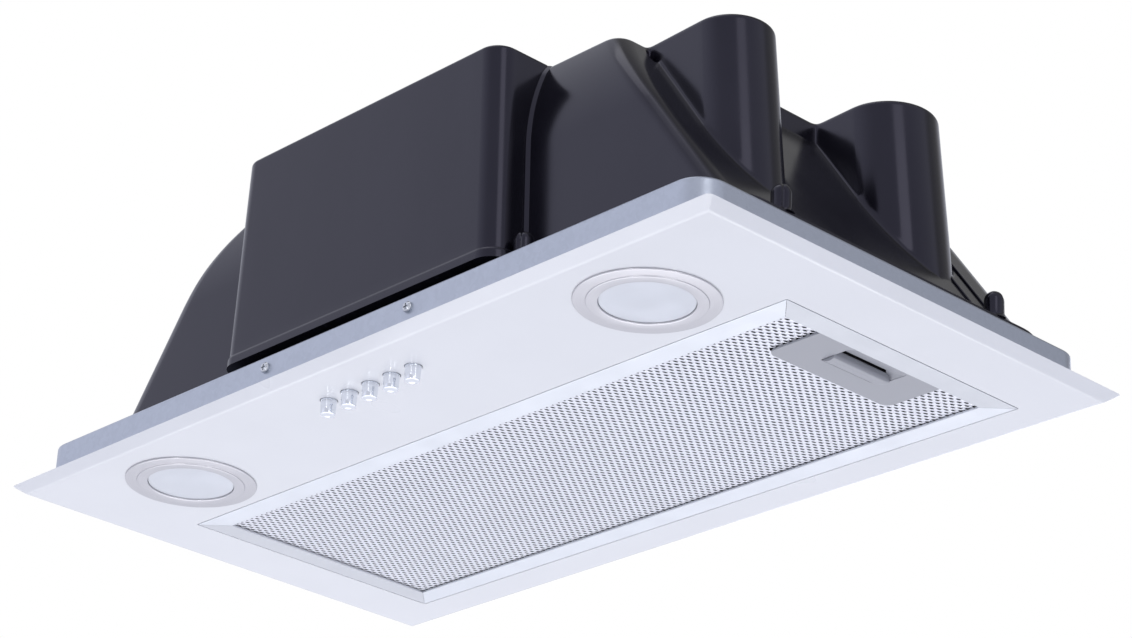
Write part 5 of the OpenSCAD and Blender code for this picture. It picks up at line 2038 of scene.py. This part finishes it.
@dataclass
class Studio:
    """Camera, pale floor, white surroundings and soft boxes. Its lengths are metres."""

    camera: Triple = (1.114970, -1.009140, -0.623590)
    azimuth: float = 47.402369
    elevation: float = -24.798417
    roll: float = 2.621986
    lens: float = 100.5
    floor: float = -3.4
    floor_half: float = 40.0
    sight: float = 120.0
    mirrored: float = 0.3
    soft_light: Rgba = (0.83, 0.86, 1.04, 1)
    ramps: tuple[Ramp, ...] = (
        Ramp((-0.8, -0.6, 0.0), (0.4, 0.9), (0.66, 1.05)),
        Ramp((0.0, 0.5, 0.866), (0.8, 0.93), (1.0, 0.012)),
        Ramp((0.324, 0.803, 0.5), (0.92, 0.985), (1.0, 0.1)),
    )
    boxes: tuple[SoftBox, ...] = (
        SoftBox("under_box", (-0.7, 0.45, -3.1), (0, 0, 0), (4.4, 4.4), 87),
        SoftBox("right_strip", (3.3, -1.45, 1.0), (0, 0, 0.08), (1.3, 3.4), 15),
        SoftBox("front_strip", (1.3, -3.2, -1.2), (0, 0, 0), (0.09, 2.4), 9),
        SoftBox("low_strip", (3.4, -0.4, -1.3), (0, 0, 0), (0.09, 2.4), 9),
        SoftBox("back_box", (-1.6, 3.6, 1.0), (0, 0, 0.1), (2.4, 1.8), 22),
        SoftBox("top_box", (-0.6, -0.9, 4.0), (0, 0, 0.1), (1.9, 1.9), 7),
    )

    def build_camera(self) -> None:
        """Stands the camera where the photograph was taken from, with its slight roll."""
        az, el, roll = (math.radians(v) for v in (self.azimuth, self.elevation, self.roll))
        back = Vector((math.sin(az) * math.cos(el), -math.cos(az) * math.cos(el), math.sin(el)))
        right = Vector((0, 0, 1)).cross(back).normalized()
        up = back.cross(right)
        side = right * math.cos(roll) + up * math.sin(roll)
        top = up * math.cos(roll) - right * math.sin(roll)
        data = bpy.data.cameras.new("camera")
        data.lens, data.sensor_width, data.clip_end = self.lens, 36, self.sight
        piece = bpy.data.objects.new("camera", data)
        turn = Matrix((side, top, back)).transposed().to_4x4()
        piece.matrix_world = Matrix.Translation(self.camera) @ turn
        bpy.context.scene.collection.objects.link(piece)
        bpy.context.scene.camera = piece

    def build_world(self) -> None:
        """Lights softly from all round, less to the right, behind and overhead: the product of the ramps.

        Camera and transmission rays see plain white, and glossy rays a share of it over the soft light.
        """
        world = bpy.data.worlds.new("surroundings")
        bpy.context.scene.world = world
        world.use_nodes = True
        g = Graph(world.node_tree)
        rays = g.add("LightPath").outputs
        seen = g.math("MAXIMUM", rays["Is Camera Ray"], rays["Is Transmission Ray"])
        seen = g.math("MAXIMUM", seen, g.math("MULTIPLY", rays["Is Glossy Ray"], self.mirrored))
        where = g.add("TexCoord").outputs["Generated"]
        total: Socket | None = None
        for ramp in self.ramps:
            toward = g.add("VectorMath", {"operation": "DOT_PRODUCT"}, Vector=where)
            toward.inputs[1].default_value = ramp.axis
            level = g.remap(toward.outputs["Value"], *ramp.reach, *ramp.levels, "SMOOTHSTEP")
            total = level if total is None else g.math("MULTIPLY", total, level)
        soft = g.add("Background", Color=self.soft_light, Strength=total).outputs[0]
        white = g.add("Background", Color=(1, 1, 1, 1), Strength=1.0).outputs[0]
        mix = g.add("MixShader")
        for socket, value in zip(mix.inputs, (seen, soft, white)):
            g.feed(socket, value)
        g.feed(g.add("OutputWorld").inputs["Surface"], mix.outputs[0])

    def build_floor(self) -> None:
        """Lays a wide pale floor far below, as the hood hangs in the air."""
        g = Surface("pale_floor")
        rays = g.add("LightPath").outputs
        seen = g.math("MAXIMUM", rays["Is Camera Ray"], rays["Is Glossy Ray"])
        material = g.done(
            Base_Color=(0.86, 0.87, 0.89, 1),
            Roughness=0.9,
            Emission_Color=(1, 1, 1, 1),
            Emission_Strength=g.math("MULTIPLY", seen, 0.5),
        )
        mesh = bpy.data.meshes.new("floor")
        signs = ((-1, -1), (1, -1), (1, 1), (-1, 1))
        spots = [(x * self.floor_half, y * self.floor_half, self.floor) for x, y in signs]
        mesh.from_pydata(spots, [], [(0, 1, 2, 3)])
        mesh.materials.append(material)
        floor = bpy.data.objects.new("floor", mesh)
        bpy.context.scene.collection.objects.link(floor)

    def build(self) -> None:
        """Makes the whole studio."""
        bpy.context.scene.view_settings.view_transform = "Standard"
        self.build_camera()
        self.build_world()
        self.build_floor()
        for box in self.boxes:
            box.build()


def corners(bounds: tuple[Vector, Vector]) -> list[list[float]]:
    """Turns a box's lowest and highest corner into plain lists of numbers."""
    return [[float(v) for v in corner] for corner in bounds]


def main() -> None:
    """Loads the frame and builds every sub-assembly in order, logging each one."""
    logging.basicConfig(level=logging.INFO, format="%(name)s: %(message)s")
    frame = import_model()
    LOG.info("frame: %d nodes", len(frame["nodes"]))
    housing = Housing()
    steps: list[tuple[str, Callable[[], None]]] = [
        ("studio", Studio().build),
        ("fascia", Fascia().build),
        ("mounting band", MountingBand().build),
        ("left lamp", Lamp(Side.LEFT).build),
        ("right lamp", Lamp(Side.RIGHT).build),
        ("buttons", Buttons().build),
        ("grease filter", GreaseFilter().build),
        ("housing", housing.build),
        ("control box", ControlBox(housing).build),
        ("outlet", Outlet().build),
        ("blower", Blower().build),
    ]
    for name, step in steps:
        step()
        LOG.info("%s: done", name)


if __name__ == "__main__":
    main()
